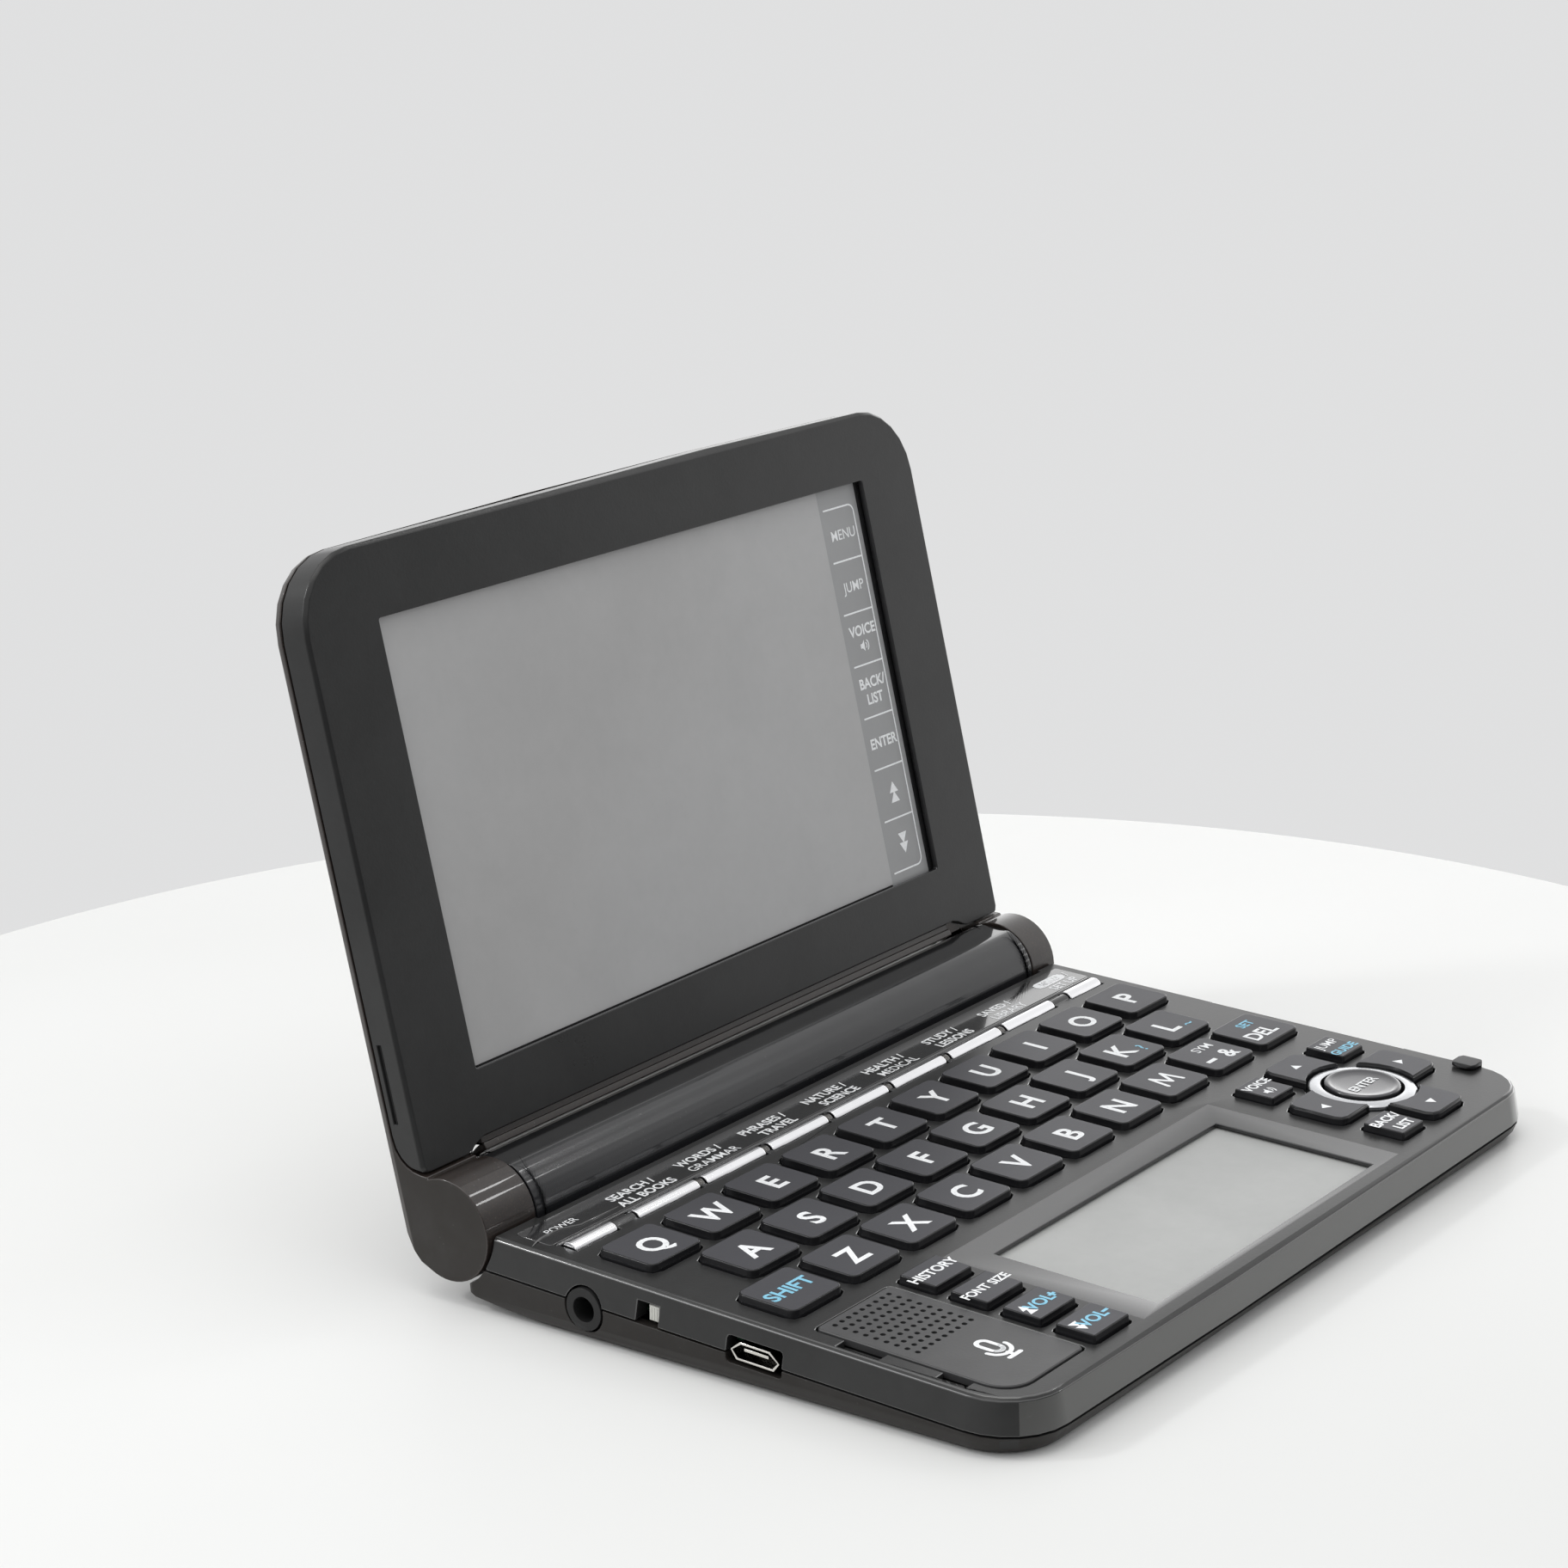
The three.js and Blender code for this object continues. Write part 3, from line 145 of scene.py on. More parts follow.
class Wiring:
    """Adds nodes to a tree and joins them."""

    def __init__(self, tree: bpy.types.NodeTree) -> None:
        """Keeps the tree that the nodes go to."""
        self.tree = tree

    def feed(self, node: bpy.types.Node, values: dict) -> bpy.types.Node:
        """Sets a node's inputs or joins sockets to them.

        Args:
            node: The node.
            values: What each input takes, by its name or place: a number, a colour or a socket.

        Returns:
            The node.
        """
        for name, value in values.items():
            socket = node.inputs[name]
            if isinstance(value, bpy.types.NodeSocket):
                self.tree.links.new(value, socket)
            else:
                socket.default_value = value
        return node

    def add(self, kind: str, values: dict | None = None, **settings: object) -> bpy.types.Node:
        """Adds a node.

        Args:
            kind: Blender's type of the node, without its ShaderNode prefix.
            values: What its inputs take.
            settings: The node's own properties.

        Returns:
            The new node.
        """
        node = self.tree.nodes.new(kind if kind.startswith("NodeGroup") else "ShaderNode" + kind)
        for name, value in settings.items():
            setattr(node, name, value)
        return self.feed(node, values or {})

    def math(self, operation: str, first: object, second: object) -> bpy.types.NodeSocket:
        """Joins two numbers by an operation and returns the result's socket."""
        return self.add("Math", {0: first, 1: second}, operation=operation).outputs[0]

    def mix(self, share: object, first: object, second: object) -> bpy.types.NodeSocket:
        """Mixes two colours by a share and returns the result's socket."""
        return self.add("Mix", {0: share, 6: first, 7: second}, data_type="RGBA").outputs[2]

    def ramp(self, value: object, low: float, high: float, kind: str = "LINEAR") -> bpy.types.NodeSocket:
        """Stretches the numbers between two limits over 0 to 1 and returns the result's socket."""
        return self.add("MapRange", {0: value, 1: low, 2: high}, interpolation_type=kind).outputs[0]

    def noise(self, place: object, scale: float, detail: float = 2.0, roughness: float = 0.5,
              distortion: float = 0.0) -> bpy.types.NodeSocket:
        """Adds a noise, its scale in waves per metre, and returns its factor's socket."""
        return self.add("TexNoise", {"Vector": place, "Scale": scale, "Detail": detail,
                                     "Roughness": roughness, "Distortion": distortion}).outputs[0]


class Effect(Enum):
    """The effects that several finishes share, by the names of their node groups."""

    GRAIN = "moulded_grain"
    HANDLING = "handling_marks"
    WEAR = "rubbed_edges"
    FLAKE = "pearl_flake"


def new_group(effect: Effect, inputs: dict[str, str], outputs: dict[str, str]) -> tuple:
    """Starts the node group of an effect.

    Args:
        effect: Which effect.
        inputs: Socket type of each input by name.
        outputs: Socket type of each output by name.

    Returns:
        The group's wiring, the sockets that bring its inputs, and its output node.
    """
    tree = bpy.data.node_groups.new(effect.value, "ShaderNodeTree")
    for way, sockets in (("INPUT", inputs), ("OUTPUT", outputs)):
        for label, kind in sockets.items():
            tree.interface.new_socket(label, in_out=way, socket_type="NodeSocket" + kind)
    wiring = Wiring(tree)
    return wiring, wiring.add("NodeGroupInput").outputs, wiring.add("NodeGroupOutput")


def build_grain() -> bpy.types.NodeTree:
    """Builds the height of fine moulded grain.

    Returns:
        The group's tree.
    """
    wiring, given, result = new_group(
        Effect.GRAIN,
        {"Vector": "Vector", "Cells per Metre": "Float", "Coarseness": "Float"},
        {"Height": "Float"},
    )
    place, scale = given["Vector"], given["Cells per Metre"]
    fine = wiring.noise(place, scale, 3.0, 0.6)
    cells = wiring.add("TexVoronoi", {"Vector": place, "Scale": wiring.math("MULTIPLY", scale, 0.6)})
    coarse = wiring.math("MULTIPLY", cells.outputs["Distance"], given["Coarseness"])
    wiring.feed(result, {"Height": wiring.math("ADD", fine, coarse)})
    return wiring.tree


def build_handling() -> bpy.types.NodeTree:
    """Builds what hands leave: soft smudges that change the roughness, and a little dust.

    Returns:
        The group's tree.
    """
    wiring, given, result = new_group(
        Effect.HANDLING,
        {"Vector": "Vector", "Roughness": "Float", "Smudge": "Float", "Colour": "Color", "Dust": "Float"},
        {"Roughness": "Float", "Colour": "Color"},
    )
    place = given["Vector"]
    smudge_tone, dust_tone = (0.09, 0.09, 0.09), (0.32, 0.31, 0.3)
    broad = wiring.noise(place, 55.0, 4.0, distortion=0.6)
    streaks = wiring.noise(place, 420.0, 2.0, 0.7)
    blend = wiring.math("ADD", wiring.math("MULTIPLY", broad, 0.7), wiring.math("MULTIPLY", streaks, 0.3))
    change = wiring.math("MULTIPLY", wiring.math("SUBTRACT", blend, 0.5), given["Smudge"])
    specks = wiring.add("TexVoronoi", {"Vector": place, "Scale": 900.0})
    near = wiring.math("LESS_THAN", specks.outputs["Distance"], 0.12)
    chosen = wiring.math("GREATER_THAN", streaks, 0.56)
    amount = wiring.math("MULTIPLY", wiring.math("MULTIPLY", near, chosen), given["Dust"])
    toned = wiring.mix(wiring.math("MULTIPLY", blend, 0.25), given["Colour"], rgba(smudge_tone))
    wiring.feed(result, {
        "Roughness": wiring.math("ADD", given["Roughness"], change),
        "Colour": wiring.mix(amount, toned, rgba(dust_tone)),
    })
    return wiring.tree


def build_wear() -> bpy.types.NodeTree:
    """Builds the paler tone of edges that have been rubbed.

    Returns:
        The group's tree.
    """
    wiring, given, result = new_group(
        Effect.WEAR,
        {"Vector": "Vector", "Colour": "Color", "Rubbed Colour": "Color", "Amount": "Float"},
        {"Colour": "Color"},
    )
    edge = wiring.ramp(wiring.add("NewGeometry").outputs["Pointiness"], 0.53, 0.62)
    broken = wiring.ramp(wiring.noise(given["Vector"], 240.0, 4.0), 0.4, 0.65)
    mask = wiring.math("MULTIPLY", wiring.math("MULTIPLY", edge, broken), given["Amount"])
    wiring.feed(result, {"Colour": wiring.mix(mask, given["Colour"], given["Rubbed Colour"])})
    return wiring.tree


def build_flake() -> bpy.types.NodeTree:
    """Builds the tiny pearl flakes under a lacquer.

    Returns:
        The group's tree.
    """
    wiring, given, result = new_group(
        Effect.FLAKE,
        {"Vector": "Vector", "Colour": "Color", "Flake Colour": "Color", "Amount": "Float"},
        {"Colour": "Color"},
    )
    flakes = wiring.add("TexVoronoi", {"Vector": given["Vector"], "Scale": 5200.0})
    tone = wiring.add("SeparateColor", {0: flakes.outputs["Color"]})
    share = wiring.math("MULTIPLY", wiring.ramp(tone.outputs[0], 0.55, 1.0), given["Amount"])
    wiring.feed(result, {"Colour": wiring.mix(share, given["Colour"], given["Flake Colour"])})
    return wiring.tree


BUILDERS: dict[Effect, Callable[[], bpy.types.NodeTree]] = {
    Effect.GRAIN: build_grain,
    Effect.HANDLING: build_handling,
    Effect.WEAR: build_wear,
    Effect.FLAKE: build_flake,
}


class Surface:
    """A material in the making, with its Principled shader and the object coordinates of its points."""

    def __init__(self, name: str) -> None:
        """Starts the material.

        Args:
            name: Name of the material.
        """
        self.material = bpy.data.materials.new(name)
        self.material.use_nodes = True
        self.material.node_tree.nodes.clear()
        self.wiring = Wiring(self.material.node_tree)
        self.shader = self.wiring.add("BsdfPrincipled")
        self.wiring.add("OutputMaterial", {"Surface": self.shader.outputs[0]})
        self.place = self.wiring.add("TexCoord").outputs["Object"]

    def effect(self, effect: Effect, values: dict) -> bpy.types.bpy_prop_collection:
        """Places a shared effect in the material.

        Args:
            effect: Which effect.
            values: What its inputs take.

        Returns:
            The effect's outputs.
        """
        tree = bpy.data.node_groups.get(effect.value) or BUILDERS[effect]()
        node = self.wiring.add("Group", node_tree=tree)
        return self.wiring.feed(node, {"Vector": self.place, **values}).outputs

    def handle(self, colour: object, roughness: float, smudge: float, dust: float) -> bpy.types.NodeSocket:
        """Adds the marks of handling, which set the shader's roughness.

        Args:
            colour: The clean colour.
            roughness: The clean roughness.
            smudge: How much the smudges change the roughness.
            dust: How much dust there is.

        Returns:
            The handled colour.
        """
        marks = self.effect(Effect.HANDLING, {
            "Colour": colour, "Roughness": roughness, "Smudge": smudge, "Dust": dust,
        })
        self.wiring.feed(self.shader, {"Roughness": marks["Roughness"]})
        return marks["Colour"]

    def bump(self, height: bpy.types.NodeSocket, strength: float, distance: float = 0.0001) -> None:
        """Bends the shader's normal by a height, given in metres."""
        bump = self.wiring.add("Bump", {"Strength": strength, "Distance": distance, "Height": height})
        self.wiring.feed(self.shader, {"Normal": bump.outputs[0]})

    def grain(self, cells: float, coarseness: float, strength: float, distance: float = 0.0001) -> None:
        """Bends the shader's normal by the moulded grain, its size given in cells per metre."""
        grain = self.effect(Effect.GRAIN, {"Cells per Metre": cells, "Coarseness": coarseness})
        self.bump(grain["Height"], strength, distance)

    def finish(self, colour: object, specular: float = 0.5, coat: float = 0.0, coat_roughness: float = 0.03,
               metallic: float = 0.0) -> bpy.types.Material:
        """Sets what is the same all over.

        Args:
            colour: The colour, or a socket that brings it.
            specular: Level of the reflections.
            coat: Weight of the clear coat.
            coat_roughness: Roughness of the clear coat.
            metallic: Share of metal.

        Returns:
            The material.
        """
        self.wiring.feed(self.shader, {
            "Base Color": colour, "Specular IOR Level": specular, "Coat Weight": coat,
            "Coat Roughness": coat_roughness, "Metallic": metallic,
        })
        return self.material


@dataclass(frozen=True)
class Plastic:
    """A moulded plastic with fine grain, smudges, dust and slightly rubbed edges."""

    name: str
    colour: Colour
    roughness: float
    grain: float = 3000.0
    coarseness: float = 0.5
    depth: float = 0.06
    smudge: float = 0.12
    dust: float = 0.06
    rubbed: Colour = (0.11, 0.11, 0.115)
    wear: float = 0.35
    coat: float = 0.0
    coat_roughness: float = 0.05
    specular: float = 0.5

    def make(self) -> bpy.types.Material:
        """Builds the material.

        Returns:
            The material.
        """
        surface = Surface(self.name)
        handled = surface.handle(rgba(self.colour), self.roughness, self.smudge, self.dust)
        worn = surface.effect(Effect.WEAR, {
            "Colour": handled, "Rubbed Colour": rgba(self.rubbed), "Amount": self.wear,
        })
        surface.grain(self.grain, self.coarseness, self.depth)
        return surface.finish(worn["Colour"], self.specular, self.coat, self.coat_roughness)


@dataclass(frozen=True)
class Lacquer:
    """A dark lacquer with pearl flakes under a clear coat."""

    name: str
    colour: Colour
    flake: Colour
    amount: float = 0.35
    roughness: float = 0.32
    coat: float = 0.5
    coat_roughness: float = 0.04
    specular: float = 0.3
    smudge: float = 0.1
    dust: float = 0.2
    waves: float = 260.0
    wave_strength: float = 0.03

    def make(self) -> bpy.types.Material:
        """Builds the material.

        Returns:
            The material.
        """
        surface = Surface(self.name)
        flakes = surface.effect(Effect.FLAKE, {
            "Colour": rgba(self.colour), "Flake Colour": rgba(self.flake), "Amount": self.amount,
        })
        handled = surface.handle(flakes["Colour"], self.roughness, self.smudge, self.dust)
        surface.bump(surface.wiring.noise(surface.place, self.waves, 1.0), self.wave_strength)
        return surface.finish(handled, self.specular, self.coat, self.coat_roughness)


@dataclass(frozen=True)
class Plating:
    """Polished or satin metal with faint wipe marks."""

    name: str
    colour: Colour
    roughness: float
    brushed: float = 0.0
    smudge: float = 0.1
    dust: float = 0.1
    evenness: float = 0.08
    grain: float = 2600.0
    coarseness: float = 0.1
    depth: float = 0.02

    def make(self) -> bpy.types.Material:
        """Builds the material.

        Returns:
            The material.
        """
        surface = Surface(self.name)
        handled = surface.handle(rgba(self.colour), self.roughness, self.smudge, self.dust)
        tone = surface.wiring.mix(self.evenness, handled, rgba(self.colour))
        surface.grain(self.grain, self.coarseness, self.depth + self.brushed)
        return surface.finish(tone, metallic=1.0)


@dataclass(frozen=True)
class PrintedInk:
    """Screen-printed ink: matte, slightly uneven in its cover."""

    name: str
    colour: Colour
    thin: Colour
    roughness: float = 0.5
    cover: float = 2200.0

    def make(self) -> bpy.types.Material:
        """Builds the material.

        Returns:
            The material.
        """
        surface = Surface(self.name)
        cover = surface.wiring.noise(surface.place, self.cover, 3.0)
        share = surface.wiring.ramp(cover, 0.3, 0.5)
        surface.bump(cover, 0.1, 0.00005)
        surface.wiring.feed(surface.shader, {"Roughness": self.roughness})
        return surface.finish(surface.wiring.mix(share, rgba(self.thin), rgba(self.colour)))


@dataclass(frozen=True)
class ScreenGlass:
    """A display or pen surface that is switched off: grey under an even, slightly rough film."""

    name: str
    low: Colour
    high: Colour
    roughness: float
    coat: float
    coat_roughness: float
    specular: float = 0.5
    cloud: float = 14.0
    smudge: float = 0.12
    dust: float = 0.15
    weave: float = 9000.0
    coarseness: float = 0.2

    def make(self) -> bpy.types.Material:
        """Builds the material.

        Returns:
            The material.
        """
        surface = Surface(self.name)
        drift = surface.wiring.ramp(surface.wiring.noise(surface.place, self.cloud, 1.0), 0.3, 0.7)
        tone = surface.wiring.mix(drift, rgba(self.low), rgba(self.high))
        handled = surface.handle(tone, self.roughness, self.smudge, self.dust)
        surface.grain(self.weave, self.coarseness, 0.05, 0.00005)
        return surface.finish(handled, self.specular, self.coat, self.coat_roughness)


@dataclass(frozen=True)
class Laminate:
    """The pale, faintly mottled top of a table."""

    name: str
    low: Colour
    high: Colour
    roughness: float = 0.42
    specular: float = 0.15
    cloud: float = 9.0
    texture: float = 900.0

    def make(self) -> bpy.types.Material:
        """Builds the material.

        Returns:
            The material.
        """
        surface = Surface(self.name)
        cloud = surface.wiring.noise(surface.place, self.cloud, 5.0)
        surface.bump(surface.wiring.noise(surface.place, self.texture), 0.03)
        surface.wiring.feed(surface.shader, {"Roughness": self.roughness})
        return surface.finish(surface.wiring.mix(cloud, rgba(self.low), rgba(self.high)), self.specular)


class Finish(Enum):
    """The finishes of the dictionary and its table, by what they are on."""

    CASE = Plastic("case_charcoal", (0.009, 0.0092, 0.009), 0.28, depth=0.07, smudge=0.03, dust=0.0,
                   wear=0.0, specular=0.36)
    # Front faces of the upper casing: the casing's plastic with a lighter colour and a coat, a painted sheen
    # for their brighter reflection.
    LIP = Plastic("front_lip_painted_sheen", (0.016, 0.0165, 0.014), 0.24, wear=0.15, coat=1.0, coat_roughness=0.12)
    BARREL = Plastic("barrel_charcoal", (0.006, 0.0065, 0.0085), 0.22, depth=0.02, wear=0.04, coat=0.5,
                     specular=0.35)
    GLOSS = Plastic("piano_black", (0.008, 0.008, 0.009), 0.12, depth=0.01, smudge=0.06, wear=0.1, coat=1.0)
    RECESS = Plastic("recess_gloss", (0.012, 0.012, 0.013), 0.2, depth=0.02, smudge=0.08, coat=0.3)
    PEARL = Lacquer("brown_pearl", (0.015, 0.009, 0.0065), (0.055, 0.034, 0.022))
    UNDERSIDE = Plastic("brown_satin", (0.01, 0.0075, 0.0055), 0.34, depth=0.04, wear=0.1, specular=0.24)
    KNUCKLE_END = Plastic("knuckle_end", (0.013, 0.0095, 0.0065), 0.34, depth=0.04, wear=0.1, specular=0.26)
    SOCKET = Plastic("socket_black", (0.006, 0.006, 0.006), 0.36, depth=0.03, wear=0.1, specular=0.22)
    KEY_TOP = Plastic("key_slate", (0.064, 0.064, 0.072), 0.4, wear=0.15, dust=0.03, specular=0.18)
    # Key walls: the key tops' plastic painted near-black as shade; their low roughness gives real glints.
    KEY_WALL = Plastic("key_wall_painted_shade", (0.003, 0.003, 0.0045), 0.2, depth=0.03, wear=0.0, dust=0.0,
                       specular=0.3)
    # Rounded case edges and the strip's rim: a real gloss coat, and a colour three times lighter than the
    # case as a painted highlight.
    EDGE = Plastic("edge_painted_glint", (0.03, 0.03, 0.03), 0.14, depth=0.02, wear=0.0, dust=0.0, coat=1.0)
    SPEAKER = Plastic("speaker_charcoal", (0.044, 0.044, 0.045), 0.4, depth=0.08, wear=0.2)
    # Near-black on faces inside the casings, in the strap pocket, on the pen panel's walls and under the
    # speaker cover: painted shade.
    HOLLOW = Plastic("hollow_painted_shade", (0.004, 0.004, 0.004), 0.6, wear=0.0, dust=0.1)
    STYLUS = Plastic("stylus_black", (0.005, 0.005, 0.006), 0.3, depth=0.04, wear=0.1, specular=0.2)
    SWITCH = Plastic("switch_ivory", (0.62, 0.62, 0.57), 0.42, rubbed=(0.7, 0.7, 0.66), dust=0.05)
    ENTER = Plastic("enter_gloss", (0.028, 0.027, 0.034), 0.2, depth=0.01, smudge=0.06, wear=0.1, coat=0.5)
    CHROME = Plating("key_chrome", (0.94, 0.94, 0.96), 0.1)
    # Dark plating on the spacer rods; on the data socket's inner walls it is painted shade.
    SMOKED = Plating("smoked_chrome_and_painted_shade", (0.12, 0.115, 0.11), 0.22)
    RING = Plating("ring_satin", (0.66, 0.67, 0.69), 0.26, brushed=0.05)
    STEEL = Plating("socket_steel", (0.72, 0.7, 0.66), 0.18)
    BOARD = Plastic("board_green", (0.02, 0.1, 0.045), 0.4, rubbed=(0.3, 0.25, 0.1))
    CELL = Plastic("cell_wrap", (0.11, 0.12, 0.14), 0.35, coat=0.4, rubbed=(0.4, 0.4, 0.4))
    DISPLAY = ScreenGlass("display_grey", (0.43, 0.426, 0.422), (0.49, 0.49, 0.49), 0.42, 0.25, 0.3)
    STRIP = ScreenGlass("strip_grey", (0.32, 0.323, 0.326), (0.36, 0.363, 0.366), 0.42, 0.25, 0.3)
    PEN_FILM = ScreenGlass("pen_sheet", (0.46, 0.465, 0.455), (0.49, 0.495, 0.485), 0.5, 0.0, 0.35,
                           specular=0.22)
    WHITE = PrintedInk("white_print", (0.93, 0.94, 0.95), (0.8, 0.81, 0.82))
    BLUE = PrintedInk("sky_print", (0.26, 0.6, 0.78), (0.2, 0.5, 0.68))
    TABLE = Laminate("pale_table", (0.77, 0.77, 0.755), (0.81, 0.81, 0.8))

    def material(self) -> bpy.types.Material:
        """Returns the finish's material, built the first time it is asked for."""
        return bpy.data.materials.get(self.value.name) or self.value.make()


# Printed marks


def sweep(x: float, y: float, radius: float, start: float, end: float, steps: int = 20) -> tuple[Point, ...]:
    """Lists points along an arc.

    Args:
        x: Centre, to the right.
        y: Centre, upwards.
        radius: Radius of the arc.
        start: Angle of the first point, in degrees.
        end: Angle of the last point, in degrees.
        steps: Number of steps.

    Returns:
        The arc's points.
    """
    angles = [math.radians(start + (end - start) * step / steps) for step in range(steps + 1)]
    return tuple((x + radius * math.cos(a), y + radius * math.sin(a)) for a in angles)


def circle(x: float, y: float, radius: float, steps: int) -> tuple[Point, ...]:
    """Lists points once around a circle, counter-clockwise."""
    return sweep(x, y, radius, 0, 360, steps)[:-1]


@dataclass(frozen=True)
class Mark:
    """A filled patch of an icon, or a stroke where it has a width, in the icon's square from -1 to 1."""

    points: tuple[Point, ...]
    width: float = 0.0


class Icon(Enum):
    """Plain icons, each a list of marks."""

    SPEAKER = (
        Mark(((-0.95, -0.3), (-0.55, -0.3), (-0.1, -0.75), (-0.1, 0.75), (-0.55, 0.3), (-0.95, 0.3))),
        Mark(sweep(0, 0, 0.4, -50, 50, 8), 0.18),
        Mark(sweep(0, 0, 0.8, -50, 50, 10), 0.18),
    )
    MICROPHONE = (
        Mark(((-0.32, 0.0),) + sweep(0, 0.65, 0.32, 180, 0, 10) + ((0.32, 0.0),)
             + sweep(0, 0.0, 0.32, 0, -180, 10), 0.24),
        Mark(sweep(0, 0.0, 0.68, 180, 360, 14), 0.22),
        Mark(((0, -0.62), (0, -0.95)), 0.22),
        Mark(((-0.42, -1.0), (0.42, -1.0)), 0.24),
    )
    DOUBLE_UP = (
        Mark(((-0.6, -0.05), (0.6, -0.05), (0, 0.9))),
        Mark(((-0.6, -0.9), (0.6, -0.9), (0, 0.05))),
    )
    DOUBLE_DOWN = (
        Mark(((0.6, 0.05), (-0.6, 0.05), (0, -0.9))),
        Mark(((0.6, 0.9), (-0.6, 0.9), (0, -0.05))),
    )
    ARROW_HEAD = (Mark(((-0.6, -0.4), (0.6, -0.4), (0, 0.55))),)


class Ink:
    """Marks printed on a flat sheet, in millimetres: x to the right and y up the sheet."""

    def __init__(self) -> None:
        """Starts with a blank sheet."""
        self.patches: list[tuple[list[Point], Finish]] = []

    def patch(self, points: Sequence[Point], ink: Finish) -> None:
        """Fills a closed outline, listed either way round."""
        area = sum(a[0] * b[1] - b[0] * a[1] for a, b in zip(points, [*points[1:], points[0]]))
        self.patches.append((list(points) if area > 0 else list(reversed(points)), ink))


@dataclass(frozen=True)
class Line:
    """A printed line of constant width through points, its joints and ends rounded if asked."""

    points: tuple[Point, ...]
    width: float
    ink: Finish = Finish.WHITE
    rounded: bool = True

    def draw(self, sheet: Ink) -> None:
        """Draws the line.

        Args:
            sheet: The sheet it goes to.
        """
        half = self.width / 2
        for (ax, ay), (bx, by) in zip(self.points, self.points[1:]):
            length = math.hypot(bx - ax, by - ay)
            if length < TINY:
                continue
            nx, ny = -(by - ay) / length * half, (bx - ax) / length * half
            sheet.patch([(ax + nx, ay + ny), (ax - nx, ay - ny), (bx - nx, by - ny), (bx + nx, by + ny)],
                        self.ink)
        if self.rounded:
            for x, y in self.points:
                sheet.patch(circle(x, y, half, 8), self.ink)


@dataclass(frozen=True)
class Sign:
    """A printed icon, set about a point, half its height its size, and turned by degrees."""

    icon: Icon
    x: float
    y: float
    size: float
    turn: float = 0.0
    ink: Finish = Finish.WHITE

    def draw(self, sheet: Ink) -> None:
        """Draws the icon.

        Args:
            sheet: The sheet it goes to.
        """
        cosine, sine = math.cos(math.radians(self.turn)), math.sin(math.radians(self.turn))
        for mark in self.icon.value:
            points = tuple((self.x + self.size * (px * cosine - py * sine),
                            self.y + self.size * (px * sine + py * cosine)) for px, py in mark.points)
            if mark.width:
                Line(points, mark.width * self.size, self.ink).draw(sheet)
            else:
                sheet.patch(points, self.ink)


@dataclass(frozen=True)
class Word:
    """Letters in the built-in face, set about a point by the height of a capital."""

    text: str
    x: float
    y: float
    height: float
    ink: Finish = Finish.WHITE
    bold: float = 0.0

    face_capital = 0.729
    bold_limit_of_m = 0.006
    smoothness = 4

    def draw(self, sheet: Ink) -> None:
        """Sets the letters, with less extra weight where an M would fill up.

        Args:
            sheet: The sheet they go to.
        """
        curve = bpy.data.curves.new("letters", "FONT")
        curve.body, curve.size, curve.resolution_u = self.text, 1.0, self.smoothness
        curve.offset = min(self.bold, self.bold_limit_of_m) if "M" in self.text else self.bold
        holder = add_object("letters", curve)
        mesh = evaluated(holder)
        xs = [vertex.co.x for vertex in mesh.vertices]
        scale = self.height / self.face_capital
        middle_x, middle_y = (min(xs) + max(xs)) / 2, self.face_capital / 2
        points = [(self.x + scale * (vertex.co.x - middle_x), self.y + scale * (vertex.co.y - middle_y))
                  for vertex in mesh.vertices]
        for face in mesh.polygons:
            sheet.patch([points[corner] for corner in face.vertices], self.ink)
        bpy.data.objects.remove(holder)
        bpy.data.curves.remove(curve)
        bpy.data.meshes.remove(mesh)


def printed(*things: Line | Sign | Word) -> Ink:
    """Prints lines, icons and words on a new sheet.

    Args:
        things: What is printed, in order.

    Returns:
        The sheet.
    """
    sheet = Ink()
    for thing in things:
        thing.draw(sheet)
    return sheet


# Meshes


@dataclass(frozen=True)
class Outline:
    """A box with rounded corners, in plan; the radii run from the front left, counter-clockwise."""

    left: float
    right: float
    front: float
    rear: float
    corners: tuple[float, float, float, float]
    steps: int = 6

    least_radius = 0.05

    def ring(self, inset: float, height: float) -> list[Spot]:
        """Lists its points counter-clockwise, moved inwards and set at a height.

        Args:
            inset: How far inwards.
            height: The height.

        Returns:
            The points.
        """
        points: list[Spot] = []
        places = (
            (self.left, self.front, 1, 1, 180), (self.right, self.front, -1, 1, 270),
            (self.right, self.rear, -1, -1, 0), (self.left, self.rear, 1, -1, 90),
        )
        for (x, y, across, along, start), corner in zip(places, self.corners):
            radius = max(corner - inset, self.least_radius)
            middle_x, middle_y = x + across * (inset + radius), y + along * (inset + radius)
            points += [(px, py, height)
                       for px, py in sweep(middle_x, middle_y, radius, start, start + 90, self.steps)]
        return points


def around(low: Vector, high: Vector, inset: float, corner: float, steps: int = 6) -> Outline:
    """Outlines a CAD node's box, moved inwards, with four equal corners."""
    return Outline(low.x + inset, high.x - inset, low.y + inset, high.y - inset, (corner,) * 4, steps)


